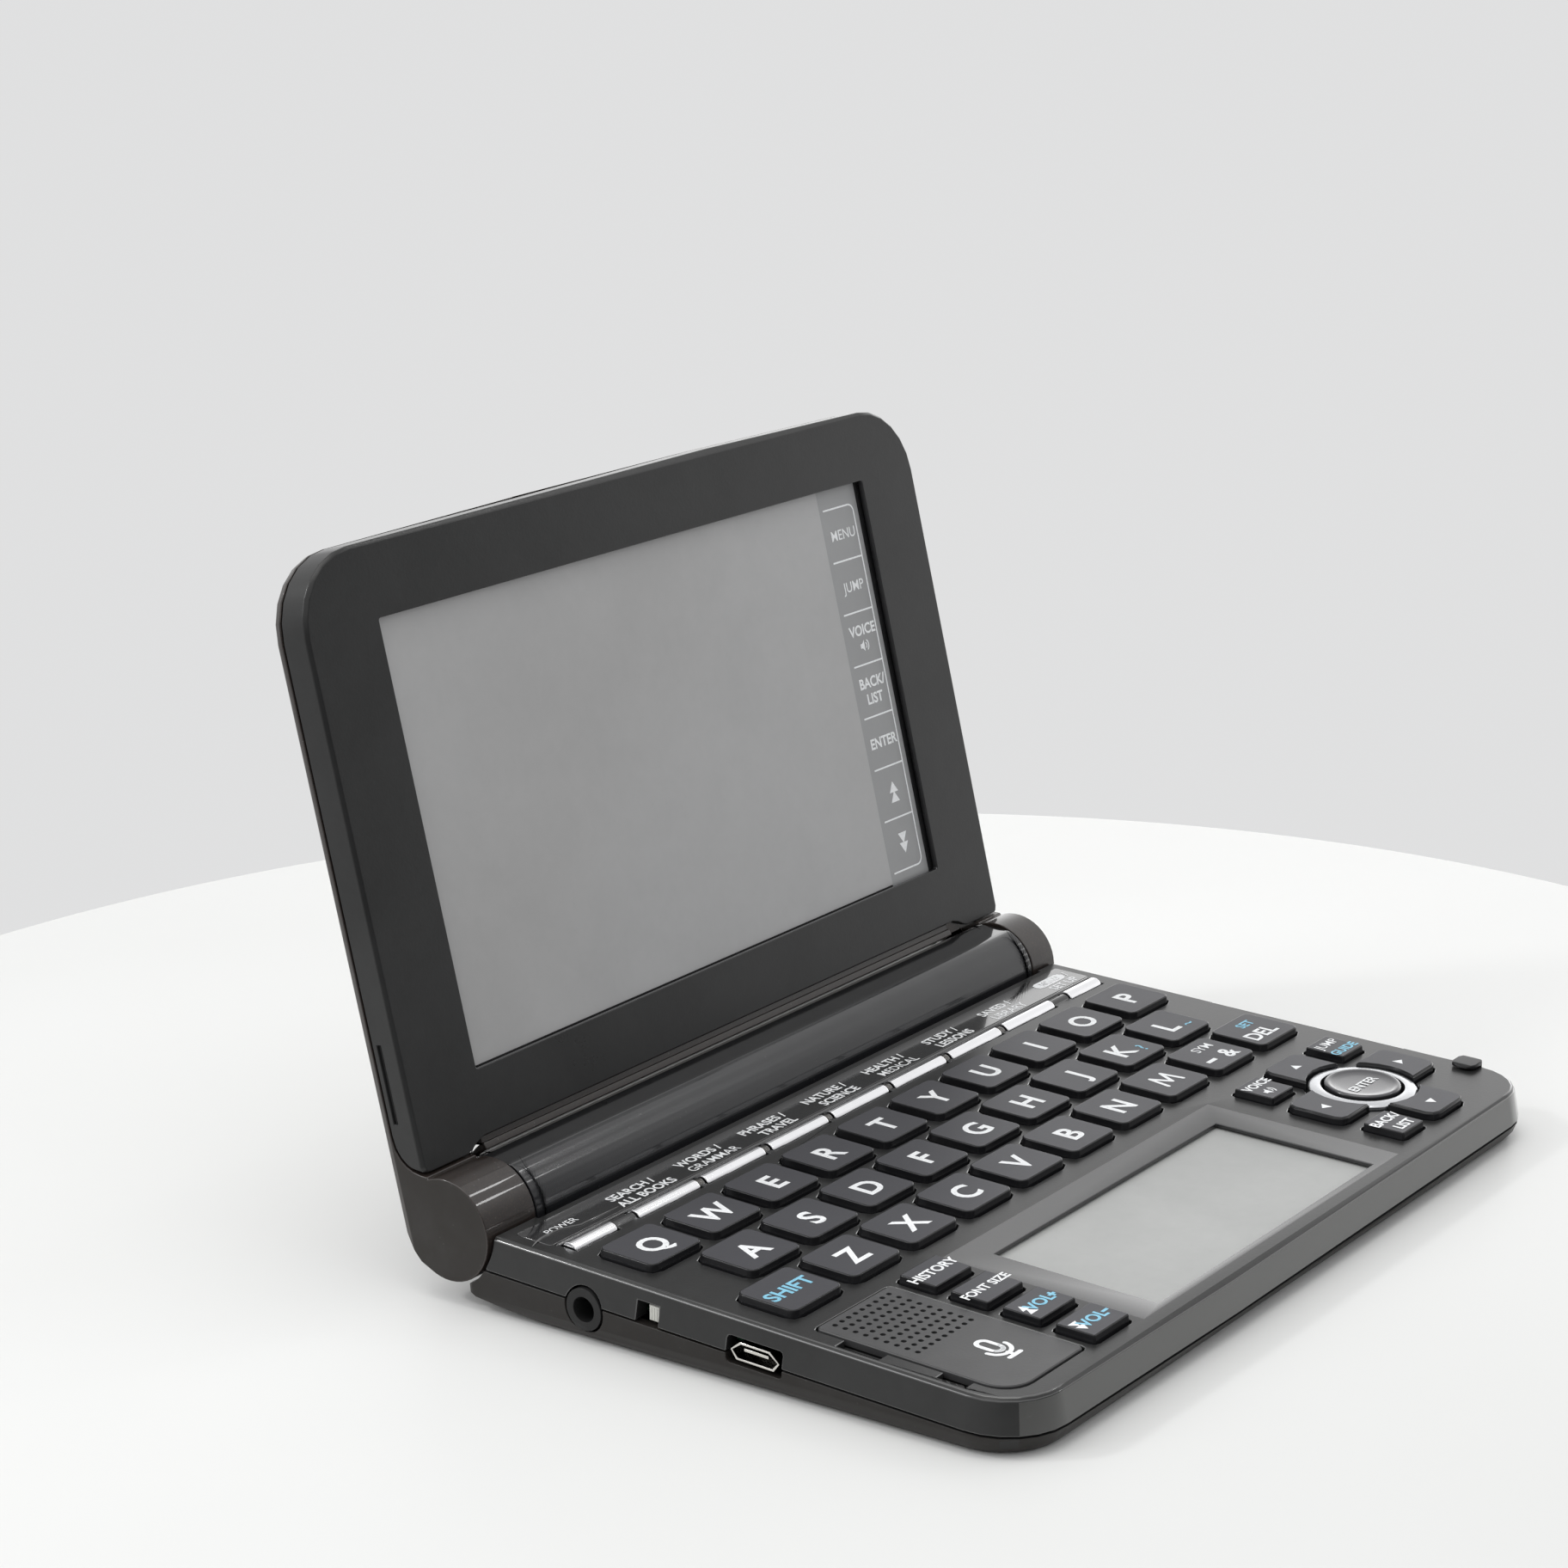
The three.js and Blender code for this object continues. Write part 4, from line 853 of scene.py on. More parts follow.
class Form:
    """A mesh that is drawn in millimetres, with a finish on every face."""

    ink_lift = 0.02
    ink_layer = 0.0015
    ink_layers = 12

    def __init__(self) -> None:
        """Starts with an empty mesh and no finish."""
        self.mesh = bmesh.new()
        self.finishes: dict[Finish, int] = {}

    def slot(self, finish: Finish) -> int:
        """Gives a finish its place among the mesh's materials."""
        return self.finishes.setdefault(finish, len(self.finishes))

    def row(self, ring: Sequence[Spot]) -> list[bmesh.types.BMVert]:
        """Adds a corner at every point of a ring."""
        return [self.mesh.verts.new(point) for point in ring]

    def face(self, corners: Sequence[bmesh.types.BMVert], finish: Finish) -> None:
        """Adds a face between corners that exist."""
        face = self.mesh.faces.new(corners)
        face.material_index = self.slot(finish)

    def band(self, lower: Sequence[bmesh.types.BMVert], upper: Sequence[bmesh.types.BMVert],
             finish: Finish) -> None:
        """Skins the band between two rings of corners.

        Args:
            lower: The lower ring, counter-clockwise seen from above.
            upper: The upper ring.
            finish: Finish of the band.
        """
        for place in range(len(lower)):
            after = (place + 1) % len(lower)
            self.face((lower[place], lower[after], upper[after], upper[place]), finish)

    def loft(self, rings: Sequence[Sequence[Spot]], side: Finish, top: Finish | None = None) -> None:
        """Skins closed rings and closes both ends.

        Args:
            rings: The rings, from the lowest to the highest, each counter-clockwise seen from above.
            side: Finish of the sides and the lower end.
            top: Finish of the upper end, if it differs.
        """
        rows = [self.row(ring) for ring in rings]
        for lower, upper in zip(rows, rows[1:]):
            self.band(lower, upper, side)
        self.face(rows[0][::-1], side)
        self.face(rows[-1], top or side)

    def turned(self, profile: Sequence[Point], centre: Point, bands: Sequence[Finish], steps: int) -> None:
        """Turns a profile about an upright axis.

        Args:
            profile: Radius and height of its points; where a radius is zero it closes on the axis.
            centre: The axis, in plan.
            bands: Finish of each band between two points.
            steps: Facets around.
        """
        closed = profile[0] == profile[-1]
        rows = []
        for radius, height in profile[:-1] if closed else profile:
            if radius < TINY:
                rows.append(self.row([(*centre, height)]) * steps)
            else:
                rows.append(self.row([(x, y, height) for x, y in circle(*centre, radius, steps)]))
        pairs = zip(rows, rows[1:] + ([rows[0]] if closed else []))
        for (inner, outer), finish in zip(pairs, bands):
            for place in range(steps):
                after = (place + 1) % steps
                corners = (inner[place], outer[place], outer[after], inner[after])
                self.face(list(dict.fromkeys(corners)), finish)

    def cap(self, outline: Outline, bottom: float, top: float, taper: float, fillet: float,
            side: Finish, face: Finish) -> None:
        """Adds a key cap or pad whose walls lean in and whose upper edge is rounded.

        Args:
            outline: Its outline at the foot.
            bottom: Height of the foot.
            top: Height of the top face.
            taper: How far the walls lean in.
            fillet: Radius of the upper edge.
            side: Finish of the walls.
            face: Finish of the top face.
        """
        rings = [outline.ring(0, bottom), outline.ring(taper, top - fillet)]
        for degrees in (22.5, 45, 67.5, 90):
            angle = math.radians(degrees)
            rings.append(outline.ring(taper + fillet * (1 - math.cos(angle)),
                                      top - fillet * (1 - math.sin(angle))))
        self.loft(rings, side, face)

    def plate(self, outline: Sequence[Point], holes: Sequence[Sequence[Point]], low: float, high: float,
              finish: Finish) -> None:
        """Adds a flat plate with holes.

        Args:
            outline: Its outline, counter-clockwise.
            holes: Outline of each hole, counter-clockwise.
            low: Height of its underside.
            high: Height of its top face.
            finish: Its finish.
        """
        loops = [list(outline)] + [list(reversed(hole)) for hole in holes]
        points = [point for loop in loops for point in loop]
        upper = self.row([(x, y, high) for x, y in points])
        lower = self.row([(x, y, low) for x, y in points])
        for a, b, c in tessellate_polygon([[Vector((x, y, 0)) for x, y in loop] for loop in loops]):
            (ax, ay), (bx, by), (cx, cy) = points[a], points[b], points[c]
            if (bx - ax) * (cy - ay) - (by - ay) * (cx - ax) < 0:
                b, c = c, b
            self.face((upper[a], upper[b], upper[c]), finish)
            self.face((lower[a], lower[c], lower[b]), finish)
        start = 0
        for loop in loops:
            end = start + len(loop)
            self.band(lower[start:end], upper[start:end], finish)
            start = end

    def print(self, ink: Ink, height: float, x: float = 0.0, y: float = 0.0) -> None:
        """Lays printed marks on a flat face.

        Args:
            ink: The marks.
            height: Height of the face.
            x: Where the sheet's origin lies, to the right.
            y: Where the sheet's origin lies, to the rear.
        """
        for layer, (points, finish) in enumerate(ink.patches):
            level = height + self.ink_lift + self.ink_layer * (layer % self.ink_layers)
            self.face(self.row([(x + px, y + py, level) for px, py in points]), finish)

    def shaded(self, name: str, placing: Matrix, sharp: float) -> bpy.types.Mesh:
        """Turns the drawing into a mesh in metres, smooth between its sharp edges.

        Args:
            name: Name of the mesh.
            placing: Frame that it was drawn in.
            sharp: Angle in degrees from which an edge stays sharp.

        Returns:
            The mesh.
        """
        self.mesh.transform(placing)
        mesh = bpy.data.meshes.new(name)
        self.mesh.to_mesh(mesh)
        self.mesh.free()
        mesh.shade_smooth()
        mesh.set_sharp_from_angle(angle=math.radians(sharp))
        for finish in self.finishes:
            mesh.materials.append(finish.material())
        return mesh

    def piece(self, name: str, body: str, placing: Matrix, slot: str, replaced: str | None = None,
              sharp: float = 40) -> None:
        """Turns the drawing into a piece of the scene.

        Args:
            name: Name of the piece.
            body: The CAD body that it rides on.
            placing: Frame that it was drawn in.
            slot: Not used.
            replaced: The CAD node that it stands for, if there is one.
            sharp: Angle in degrees from which an edge stays sharp.
        """
        rough = add_object(name + "_rough", self.shaded(name, placing, sharp))
        weigh = rough.modifiers.new("weigh", "WEIGHTED_NORMAL")
        weigh.keep_sharp, weigh.weight = True, 100
        shown = evaluated(rough)
        bpy.data.objects.remove(rough)
        shown.name = name
        piece = add_object(name, shown)
        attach(piece, body)
        if replaced:
            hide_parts(replaced)
        log.info("%s: %d faces on %s", name, len(shown.polygons), body)


@dataclass
class Shell:
    """A CAD casing copied with small rounds on its edges and a finish picked for every face."""

    node: str
    body: str
    placing: Matrix
    slot: str
    pick: Callable[[Vector, Vector], Finish]
    reshape: Callable[[Vector], Vector] | None = None
    edges: dict[Finish, Finish] = field(default_factory=dict)
    round: float = 0.14
    sharp: float = 28
    weld: float = 0.002
    tiny: float = 0.05

    def build(self) -> None:
        """Copies the CAD mesh, rounds it, picks the finishes and hands over the piece."""
        form = Form()
        mesh = form.mesh
        mesh.from_mesh(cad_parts[self.node].data)
        bmesh.ops.transform(mesh, matrix=self.placing.inverted(), verts=mesh.verts)
        bmesh.ops.remove_doubles(mesh, verts=mesh.verts, dist=self.weld)
        if self.reshape:
            for vertex in mesh.verts:
                vertex.co = self.reshape(vertex.co)
        bmesh.ops.dissolve_limit(mesh, angle_limit=math.radians(1), verts=mesh.verts, edges=mesh.edges,
                                 delimit={"NORMAL"})
        bmesh.ops.remove_doubles(mesh, verts=mesh.verts, dist=self.tiny)
        edges = [edge for edge in mesh.edges
                 if len(edge.link_faces) == 2 and edge.calc_face_angle(0) > math.radians(self.sharp)]
        rounds = bmesh.ops.bevel(mesh, geom=edges, offset=self.round, offset_type="OFFSET", segments=2,
                                 profile=0.5, affect="EDGES", clamp_overlap=False)
        mesh.normal_update()
        rounded = set(rounds["faces"])
        for face in mesh.faces:
            finish = self.pick(face.calc_center_median(), face.normal)
            face.material_index = form.slot(self.edges.get(finish, finish) if face in rounded else finish)
        form.piece(self.node + "_looks", self.body, self.placing, self.slot, self.node)


# The keyboard


@dataclass
class KeySet:
    """Flat key caps with printed legends, built over the CAD keys they replace."""

    deck: Matrix
    flange: float = 0.35
    taper: float = 0.45
    proud: float = 0.3
    fillet: float = 0.22
    corner: float = 1.7

    def cap(self, node: str, legend: Ink) -> None:
        """Builds one key.

        Args:
            node: The CAD key.
            legend: Its legend, drawn about the middle of its top face.
        """
        low, high = span(node, self.deck)
        top = high.z + self.proud
        form = Form()
        # The walls are painted near-black as shade; the top face is the key's slate.
        form.cap(around(low, high, self.flange, self.corner), low.z, top, self.taper, self.fillet,
                 Finish.KEY_WALL, Finish.KEY_TOP)
        form.print(legend, top, *middle(node, self.deck))
        form.piece(node + "_looks", node + "_cap", self.deck, "key_plastic", node)


@dataclass
class LetterKeys(KeySet):
    """The three rows of letter keys with shift, symbol and delete."""

    capital: float = 4.5
    bold: float = 0.026

    def legend(self, name: str) -> Ink:
        """Draws the legend of one key.

        Args:
            name: The last word of the key's name.

        Returns:
            The legend.
        """
        white, blue = Finish.WHITE, Finish.BLUE
        legends = {
            "shift": (Word("SHIFT", -0.2, 0.1, 2.7, blue, self.bold),),
            "delete": (Word("SET", 0.9, 2.4, 1.8, blue, self.bold),
                       Word("DEL", -0.9, -1.7, 3.0, white, self.bold)),
            "symbol": (Word("SYM", 1.2, 2.4, 1.9, white, 0.01),
                       Line(((-3.9, -1.9), (-1.4, -1.9)), 0.8, rounded=False),
                       Word("&", 2.3, -1.8, 3.3, white, self.bold)),
            "M": (Line(((-2.2, -2.15), (-1.55, 1.75), (0.0, -1.5), (1.55, 1.75), (2.2, -2.15)), 0.66),),
            "K": (Word("K", -0.7, -0.2, self.capital, white, self.bold),
                  Word("?", 2.8, -2.0, 2.5, blue, 0.012)),
            "L": (Word("L", -0.7, -0.2, self.capital, white, self.bold),
                  Word("~", 2.8, -2.0, 2.5, blue, 0.012)),
        }
        plain = (Word(name, 0.0, -0.2, self.capital, white, self.bold),)
        return printed(*legends.get(name, plain))

    def build(self) -> None:
        """Builds every key of the three rows."""
        for name in [*"QWERTYUIOPASDFGHJKLZXCVBNM", "shift", "symbol", "delete"]:
            self.cap(f"key_{name}", self.legend(name))


@dataclass
class SmallKeys(KeySet):
    """The side keys and the corner keys of the cursor cluster."""

    fillet: float = 0.2
    corner: float = 0.75
    bold: float = 0.03

    def build(self) -> None:
        """Builds the four side keys, counted from the rear, and the three corner keys."""
        white, blue, bold = Finish.WHITE, Finish.BLUE, self.bold
        volume = Word("VOL", 0.0, 0.1, 2.1, blue, bold)
        minus = Line(((2.5, 0.1), (3.9, 0.1)), 0.5, blue, False)
        upright = Line(((3.2, -0.6), (3.2, 0.8)), 0.5, blue, False)
        legends = {
            "side_key_1": (Word("HISTORY", -0.2, 0.3, 1.85, white, bold),),
            "side_key_2": (Word("FONT SIZE", -0.1, 0.2, 1.6, white, bold),),
            "side_key_3": (Sign(Icon.DOUBLE_UP, -3.0, 0.1, 1.55), volume, minus, upright),
            "side_key_4": (Sign(Icon.DOUBLE_DOWN, -3.0, 0.1, 1.55), volume, minus),
            "key_voice": (Word("VOICE", 0.2, 1.6, 1.7, white, bold), Sign(Icon.SPEAKER, -0.6, -1.3, 1.35)),
            "key_jump": (Word("JUMP", -0.2, 1.5, 1.8, white, bold),
                         Word("GUIDE", 0.0, -1.7, 1.7, blue, bold)),
            "key_back": (Word("BACK/", -0.1, 1.5, 1.8, white, bold),
                         Word("LIST", 0.3, -1.6, 1.8, white, bold)),
        }
        for node, legend in legends.items():
            self.cap(node, printed(*legend))


@dataclass
class FunctionRow:
    """The half-round plated keys along the hinge, their spacers, and the printed strip behind them."""

    deck: Matrix
    nodes: tuple[str, ...] = ("power_key", *[f"function_key_{n}" for n in range(1, 8)], "menu_key")
    # The rods: facets, rounding of the ends, and share of it against loss of radius
    steps: int = 16
    end: float = 0.22
    soft_ends: tuple[Point, ...] = ((0.0, 0.8), (0.3, 0.25), (1.0, 0.0))
    # The spacers: gap to the keys, and how much lower and thinner they are
    spacer_gap: float = 0.2
    spacer_less: float = 0.28
    spacer_foot: float = -0.9
    spacer_sink: float = 0.24
    wide_gap: float = 3.0
    # The strip, and the ridge in front of it
    strip_front: float = 38.1
    strip_rear: float = 44.9
    strip_half: float = 70.6
    strip_foot: float = -0.2
    strip_rise: float = 0.12
    strip_corner: float = 0.5
    ridge: float = 0.32
    ridge_ahead: float = 0.45
    ridge_sink: float = 0.05
    ridge_inset: float = 0.6
    ridge_end: float = 0.3
    ridge_tip: float = 0.4
    # Its words, rear and front line, and their sizes
    words: tuple[tuple[str, str], ...] = (
        ("SEARCH /", "ALL BOOKS"), ("WORDS /", "GRAMMAR"), ("PHRASES /", "TRAVEL"), ("NATURE /", "SCIENCE"),
        ("HEALTH /", "MEDICAL"), ("STUDY /", "LESSONS"), ("SAVED /", "LIBRARY"),
    )
    rear_line: float = 42.0
    front_line: float = 39.5
    stagger: float = 0.4
    capital: float = 1.75
    small_capital: float = 1.4
    bold: float = 0.026
    # The rim, glossy and lighter than the deck as a painted highlight: its course in plan and its section
    rim: tuple[Point, ...] = ((-72.4, 40.1), (-70.9, 40.7), (-69.4, 41.0), (-67.2, 41.0), (-65.2, 40.8),
                              (-63.9, 40.2), (-62.5, 39.5), (-58.6, 39.4), (-54.1, 39.4))
    rim_half: float = 0.2
    rim_tip: float = 0.3
    facets: int = 12

    def rod(self, form: Form, left: float, right: float, low: Vector, high: Vector, finish: Finish) -> None:
        """Adds a half-round rod with softened ends.

        Args:
            form: The mesh it goes to.
            left: Its left end.
            right: Its right end.
            low: Lowest corner of the CAD rod's box.
            high: Highest corner of the CAD rod's box.
            finish: Its finish.
        """
        across, radius = (low.y + high.y) / 2, (high.y - low.y) / 2
        centre = high.z - radius
        starts = [(left + share * self.end, less) for share, less in self.soft_ends]
        stops = [(right - share * self.end, less) for share, less in reversed(self.soft_ends)]
        rings = []
        for x, less in starts + stops:
            reach = radius - less * self.end
            arc = [(x, y, z) for y, z in sweep(across, centre, reach, 0, 180, self.steps)]
            rings.append([(x, across - reach, low.z), (x, across + reach, low.z), *arc])
        form.loft(rings, finish)

    def keys(self) -> None:
        """Builds the nine plated keys."""
        for node in self.nodes:
            low, high = span(node, self.deck)
            form = Form()
            self.rod(form, low.x, high.x, low, high, Finish.CHROME)
            form.piece(node + "_looks", node + "_bar", self.deck, "key_plating", node)

    def spacers(self) -> None:
        """Builds the darker rods that fill the gaps of the row."""
        form = Form()
        boxes = [span(node, self.deck) for node in self.nodes]
        for (low, high), (after, _) in zip(boxes, boxes[1:]):
            foot = Vector((0, low.y + self.spacer_less, self.spacer_foot))
            top = Vector((0, high.y - self.spacer_less, high.z - self.spacer_sink))
            wide = after.x - high.x > self.wide_gap
            self.rod(form, high.x + self.spacer_gap, after.x - self.spacer_gap, foot, top,
                     Finish.RECESS if wide else Finish.SMOKED)
        form.piece("function_row_spacers", "base", self.deck, "key_plating")

    def labels(self) -> Ink:
        """Draws the two lines of words, and the filled label of the menu key.

        Returns:
            The words.
        """
        def word(text: str, x: float, y: float) -> Word:
            """Makes a word in the strip's usual size and weight."""
            return Word(text, x, y, self.capital, bold=self.bold)

        things: list[Line | Word] = []
        for place, (rear, front) in enumerate(self.words, 1):
            x, _ = middle(f"function_key_{place}", self.deck)
            things.append(word(rear, x - self.stagger, self.rear_line))
            things.append(word(front, x + self.stagger, self.front_line))
        power, _ = middle("power_key", self.deck)
        menu, _ = middle("menu_key", self.deck)
        return printed(
            *things,
            Word("POWER", power + 0.2, 41.6, self.small_capital),
            Line(((menu - 3.4, self.rear_line), (menu + 2.6, self.rear_line)), 2.3),
            Word("MENU", menu - 0.4, self.rear_line, self.small_capital, Finish.GLOSS, self.bold),
            word("/", menu + 4.4, self.rear_line),
            word("SET UP", menu + self.stagger, self.front_line),
        )

    def strip(self) -> None:
        """Builds the glossy strip with its words, and the ridge in front of it."""
        form = Form()
        half = self.strip_half
        outline = Outline(-half, half, self.strip_front, self.strip_rear, (self.strip_corner,) * 4, 3)
        form.cap(outline, self.strip_foot, self.strip_rise, 0.02, 0.1, Finish.GLOSS, Finish.GLOSS)
        form.print(self.labels(), self.strip_rise)
        form.piece("label_strip", "base", self.deck, "charcoal_plastic")
        ridge = Form()
        end, full = half - self.ridge_inset, half - self.ridge_inset - self.ridge_end
        y, z = self.strip_front - self.ridge_ahead, -self.ridge_sink
        ridge.loft([
            [(x, *spot) for spot in circle(y, z, self.ridge * share, self.facets)]
            for x, share in ((-end, self.ridge_tip), (-full, 1.0), (full, 1.0), (end, self.ridge_tip))
        ], Finish.GLOSS)
        ridge.piece("strip_ridge", "base", self.deck, "charcoal_plastic")

    def rim_bead(self) -> None:
        """Builds the fine rim that sweeps round the power key's end, coated and in a colour lighter than the
        deck as a painted highlight.
        """
        form = Form()
        rings = []
        last = len(self.rim) - 1
        for place, (x, y) in enumerate(self.rim):
            before, after = self.rim[max(place - 1, 0)], self.rim[min(place + 1, last)]
            along = Vector((after[0] - before[0], after[1] - before[1], 0)).normalized()
            reach = self.rim_half * (self.rim_tip if place in (0, last) else 1.0)
            rings.append([(x - along.y * a, y + along.x * a, self.strip_rise + b)
                          for a, b in circle(0, 0, reach, self.facets)])
        form.loft(rings, Finish.EDGE)
        form.piece("strip_rim", "base", self.deck, "charcoal_plastic")

    def build(self) -> None:
        """Builds the row."""
        self.keys()
        self.spacers()
        self.strip()
        self.rim_bead()


@dataclass
class CursorCluster:
    """The four-lobed pad, its bright ring and the dished key in the middle."""

    deck: Matrix
    # The pad: what its lobes stand proud of the CAD's, their foot and top, and its arrows
    proud: float = 0.18
    lobe_foot: float = 0.5
    lobe_top: float = 1.18
    arrow_reach: float = 12.1
    arrow_size: float = 1.6
    arrow_shift: Point = (-0.4, -0.2)
    # Profiles of the ring and the enter key, radius against height, and their height in the CAD
    ring: tuple[Point, ...] = (
        (6.57, -0.6), (8.65, -0.6), (8.65, 0.3), (8.5, 0.5), (8.2, 0.64), (7.5, 0.76), (6.9, 0.8),
        (6.66, 0.75), (6.57, 0.62), (6.57, -0.6),
    )
    ring_height: float = 0.6
    enter: tuple[Point, ...] = (
        (0.0, -2.9), (6.1, -2.9), (6.1, 0.75), (6.0, 1.05), (5.8, 1.22), (5.5, 1.26), (5.15, 1.14),
        (4.75, 0.98), (3.6, 0.89), (1.7, 0.865), (0.0, 0.86),
    )
    enter_height: float = 0.8
    enter_walls: int = 3
    legend_rise: float = 0.13

    def pad_pick(self, spot: Vector, normal: Vector) -> Finish:
        """Picks the finish of a face of the pad: slate on the lobes' tops, and the key walls' near-black
        painted shade elsewhere.
        """
        return Finish.KEY_TOP if normal.z > 0.95 and spot.z > self.lobe_foot else Finish.KEY_WALL

    def raised(self, point: Vector) -> Vector:
        """Lifts the lobes by what they stand proud."""
        return point + Vector((0, 0, self.proud)) if point.z > self.lobe_foot else point

    def pad(self, centre: Point) -> None:
        """Dresses the lobed pad and prints its arrows.

        Args:
            centre: Middle of the cluster.
        """
        Shell("cursor_pad", "cursor_plate", self.deck, "key_plastic", self.pad_pick, self.raised,
              sharp=40).build()
        arrows = []
        for turn in (0, 90, 180, 270):
            angle = math.radians(turn + 90)
            arrows.append(Sign(Icon.ARROW_HEAD, self.arrow_reach * math.cos(angle),
                               self.arrow_reach * math.sin(angle), self.arrow_size, turn))
        form = Form()
        x, y = (place + shift for place, shift in zip(centre, self.arrow_shift))
        form.print(printed(*arrows), self.lobe_top, x, y)
        form.piece("cursor_arrows", "cursor_plate", self.deck, "key_plastic")

    def build(self) -> None:
        """Builds the cluster."""
        centre = middle("cursor_ring", self.deck)
        self.pad(centre)
        form = Form()
        lift = span("cursor_ring", self.deck)[1].z - self.ring_height
        form.turned([(r, z + lift) for r, z in self.ring], centre, (Finish.RING,) * 9, 96)
        form.piece("cursor_ring_looks", "cursor_plate", self.deck, "ring_metal", "cursor_ring")
        top = span("enter_key", self.deck)[1].z
        # The enter key's walls take the key walls' painted shade.
        bands = (Finish.KEY_WALL,) * self.enter_walls + (Finish.ENTER,) * 7
        key = Form()
        key.turned([(r, z + top - self.enter_height) for r, z in self.enter], centre, bands, 72)
        key.print(printed(Word("ENTER", 0.1, 0.0, 1.75, bold=0.02)), top + self.legend_rise, *centre)
        key.piece("enter_key_looks", "enter_key_cap", self.deck, "key_plastic", "enter_key")


# The base


@dataclass
class BaseCase:
    """The casing halves, the barrel, the sockets, the pen panel and the speaker cover."""

    deck: Matrix
    # The barrel: its radius, the flat facet on its top and the crease where that starts
    barrel: float = 7.9
    barrel_reach: float = 8.2
    barrel_front: float = 46.4
    skin: float = 0.06
    facet: float = 7.3
    facet_angles: Point = (48.5, 130.0)
    crease: float = 112.5
    crease_snap: float = 3.9
    gloss_start: float = 48.0
    # Where the upper casing's front lip, its inside and its sunk parts lie
    front: float = -43.0
    floor: float = -1.9
    inner_half: float = 71.0
    strap_pocket: tuple[Point, Point] = ((-72.2, -69.8), (-35.0, -13.0))
    pocket_top: float = -0.35
    panel_margins: tuple[float, float, float, float] = (6.0, 4.0, 1.5, 4.0)
    panel_depth: float = 1.8
    strip_back: float = 45.5
    # The speaker cover: its holes, and its edge as inset against drop
    hole_radius: float = 0.42
    mic_radius: float = 0.38
    hole_pitch: Point = (1.56, 1.72)
    hole_count: int = 9
    hole_margin: float = 1.6
    mic_inset: float = 9.6
    hole_facets: int = 12
    cover_corners: tuple[float, float, float, float] = (4.6, 1.0, 1.0, 1.0)
    cover_thickness: float = 0.6
    # How far under the top the painted-shade sheet behind the holes lies.
    shade_sheet_drop: float = 1.0
    cover_plate_inset: float = 0.18
    cover_edge: tuple[Point, ...] = ((0.19, 0.02), (0.06, 0.08), (0.0, 0.22))
    mic_icon: float = 3.1
    # The sockets on the board
    data_socket: Point = (-5.4, 3.4)
    jack_y: float = 29.3
    jack_half: float = 3.4
    jack_right: float = -62.5
    socket_right: float = -69.9
    # The switch's slider and its grip lines, as distance from its face against size
    slider_rings: tuple[Point, ...] = ((0.0, 0.14), (0.1, 0.03), (0.3, 0.0))
    grip_lines: int = 3
    grip_inset: float = 0.3
    grip_section: tuple[Point, ...] = ((-0.06, 0.05), (0.1, 0.12))

    def barrel_polar(self, point: Vector) -> Point:
        """Gives a point's radius from the hinge line and its angle in degrees."""
        across, height = point.y - LAYOUT.hinge_y, point.z + LAYOUT.hinge_drop
        return math.hypot(across, height), math.degrees(math.atan2(height, across)) % 360

    def facet_point(self, point: Vector) -> Vector:
        """Flattens the top of the barrel's skin to the facet that starts at its crease.

        Args:
            point: A point of the casing.

        Returns:
            Where it goes.
        """
        radius, angle = self.barrel_polar(point)
        start, end = self.facet_angles
        if abs(radius - self.barrel) > self.skin or not start < angle < end:
            return point
        if abs(angle - self.crease) < self.crease_snap:
            angle = self.crease
        limit = self.facet / max(0.2, math.cos(math.radians(angle - 90)))
        radius, turn = min(self.barrel, limit), math.radians(angle)
        return Vector((point.x, LAYOUT.hinge_y + radius * math.cos(turn),
                       -LAYOUT.hinge_drop + radius * math.sin(turn)))

    def upper_pick(self, spot: Vector, normal: Vector) -> Finish:
        """Picks the finish of a face of the upper casing.

        Args:
            spot: Middle of the face.
            normal: Its normal.

        Returns:
            The finish.
        """
        radius, angle = self.barrel_polar(spot)
        if radius < self.barrel_reach and spot.y > self.barrel_front:
            return Finish.GLOSS if self.gloss_start < angle < self.crease - 0.5 else Finish.BARREL
        # Front faces take the lighter lip finish: painted sheen.
        if normal.y < -0.75 and spot.y < self.front:
            return Finish.LIP
        # Faces inside the casing and in the strap pocket are painted near-black as shade.
        inside = spot.z < self.floor and normal.z < 0.5 and abs(spot.x) < self.inner_half
        (left, right), (fore, aft) = self.strap_pocket
        in_pocket = left < spot.x < right and fore < spot.y < aft and spot.z < self.pocket_top
        if inside or in_pocket:
            return Finish.HOLLOW
        low, high = span("pen_panel", self.deck)
        left, right, fore, aft = self.panel_margins
        over_panel = low.x - left < spot.x < high.x + right and low.y - fore < spot.y < high.y + aft
        behind_strip = spot.y > self.strip_back and spot.z < -0.3
        if (over_panel and -self.panel_depth < spot.z < -0.01) or behind_strip:
            return Finish.RECESS
        return Finish.CASE

    def lower_pick(self, spot: Vector, normal: Vector) -> Finish:
        """Picks the finish of a face of the lower casing: near-black painted shade inside, brown outside."""
        inside = abs(spot.x) < 72 and spot.z > -9 and -42 < spot.y < 44 and normal.z > -0.5
        return Finish.HOLLOW if inside else Finish.UNDERSIDE

    def board_pick(self, spot: Vector, normal: Vector) -> Finish:
        """Picks the finish of a face of the board, the earphone socket or the data socket.

        Args:
            spot: Middle of the face.
            normal: Its normal.

        Returns:
            The finish.
        """
        if spot.x < self.jack_right and abs(spot.y - self.jack_y) < self.jack_half:
            return Finish.SOCKET
        if spot.x > self.socket_right:
            return Finish.BOARD
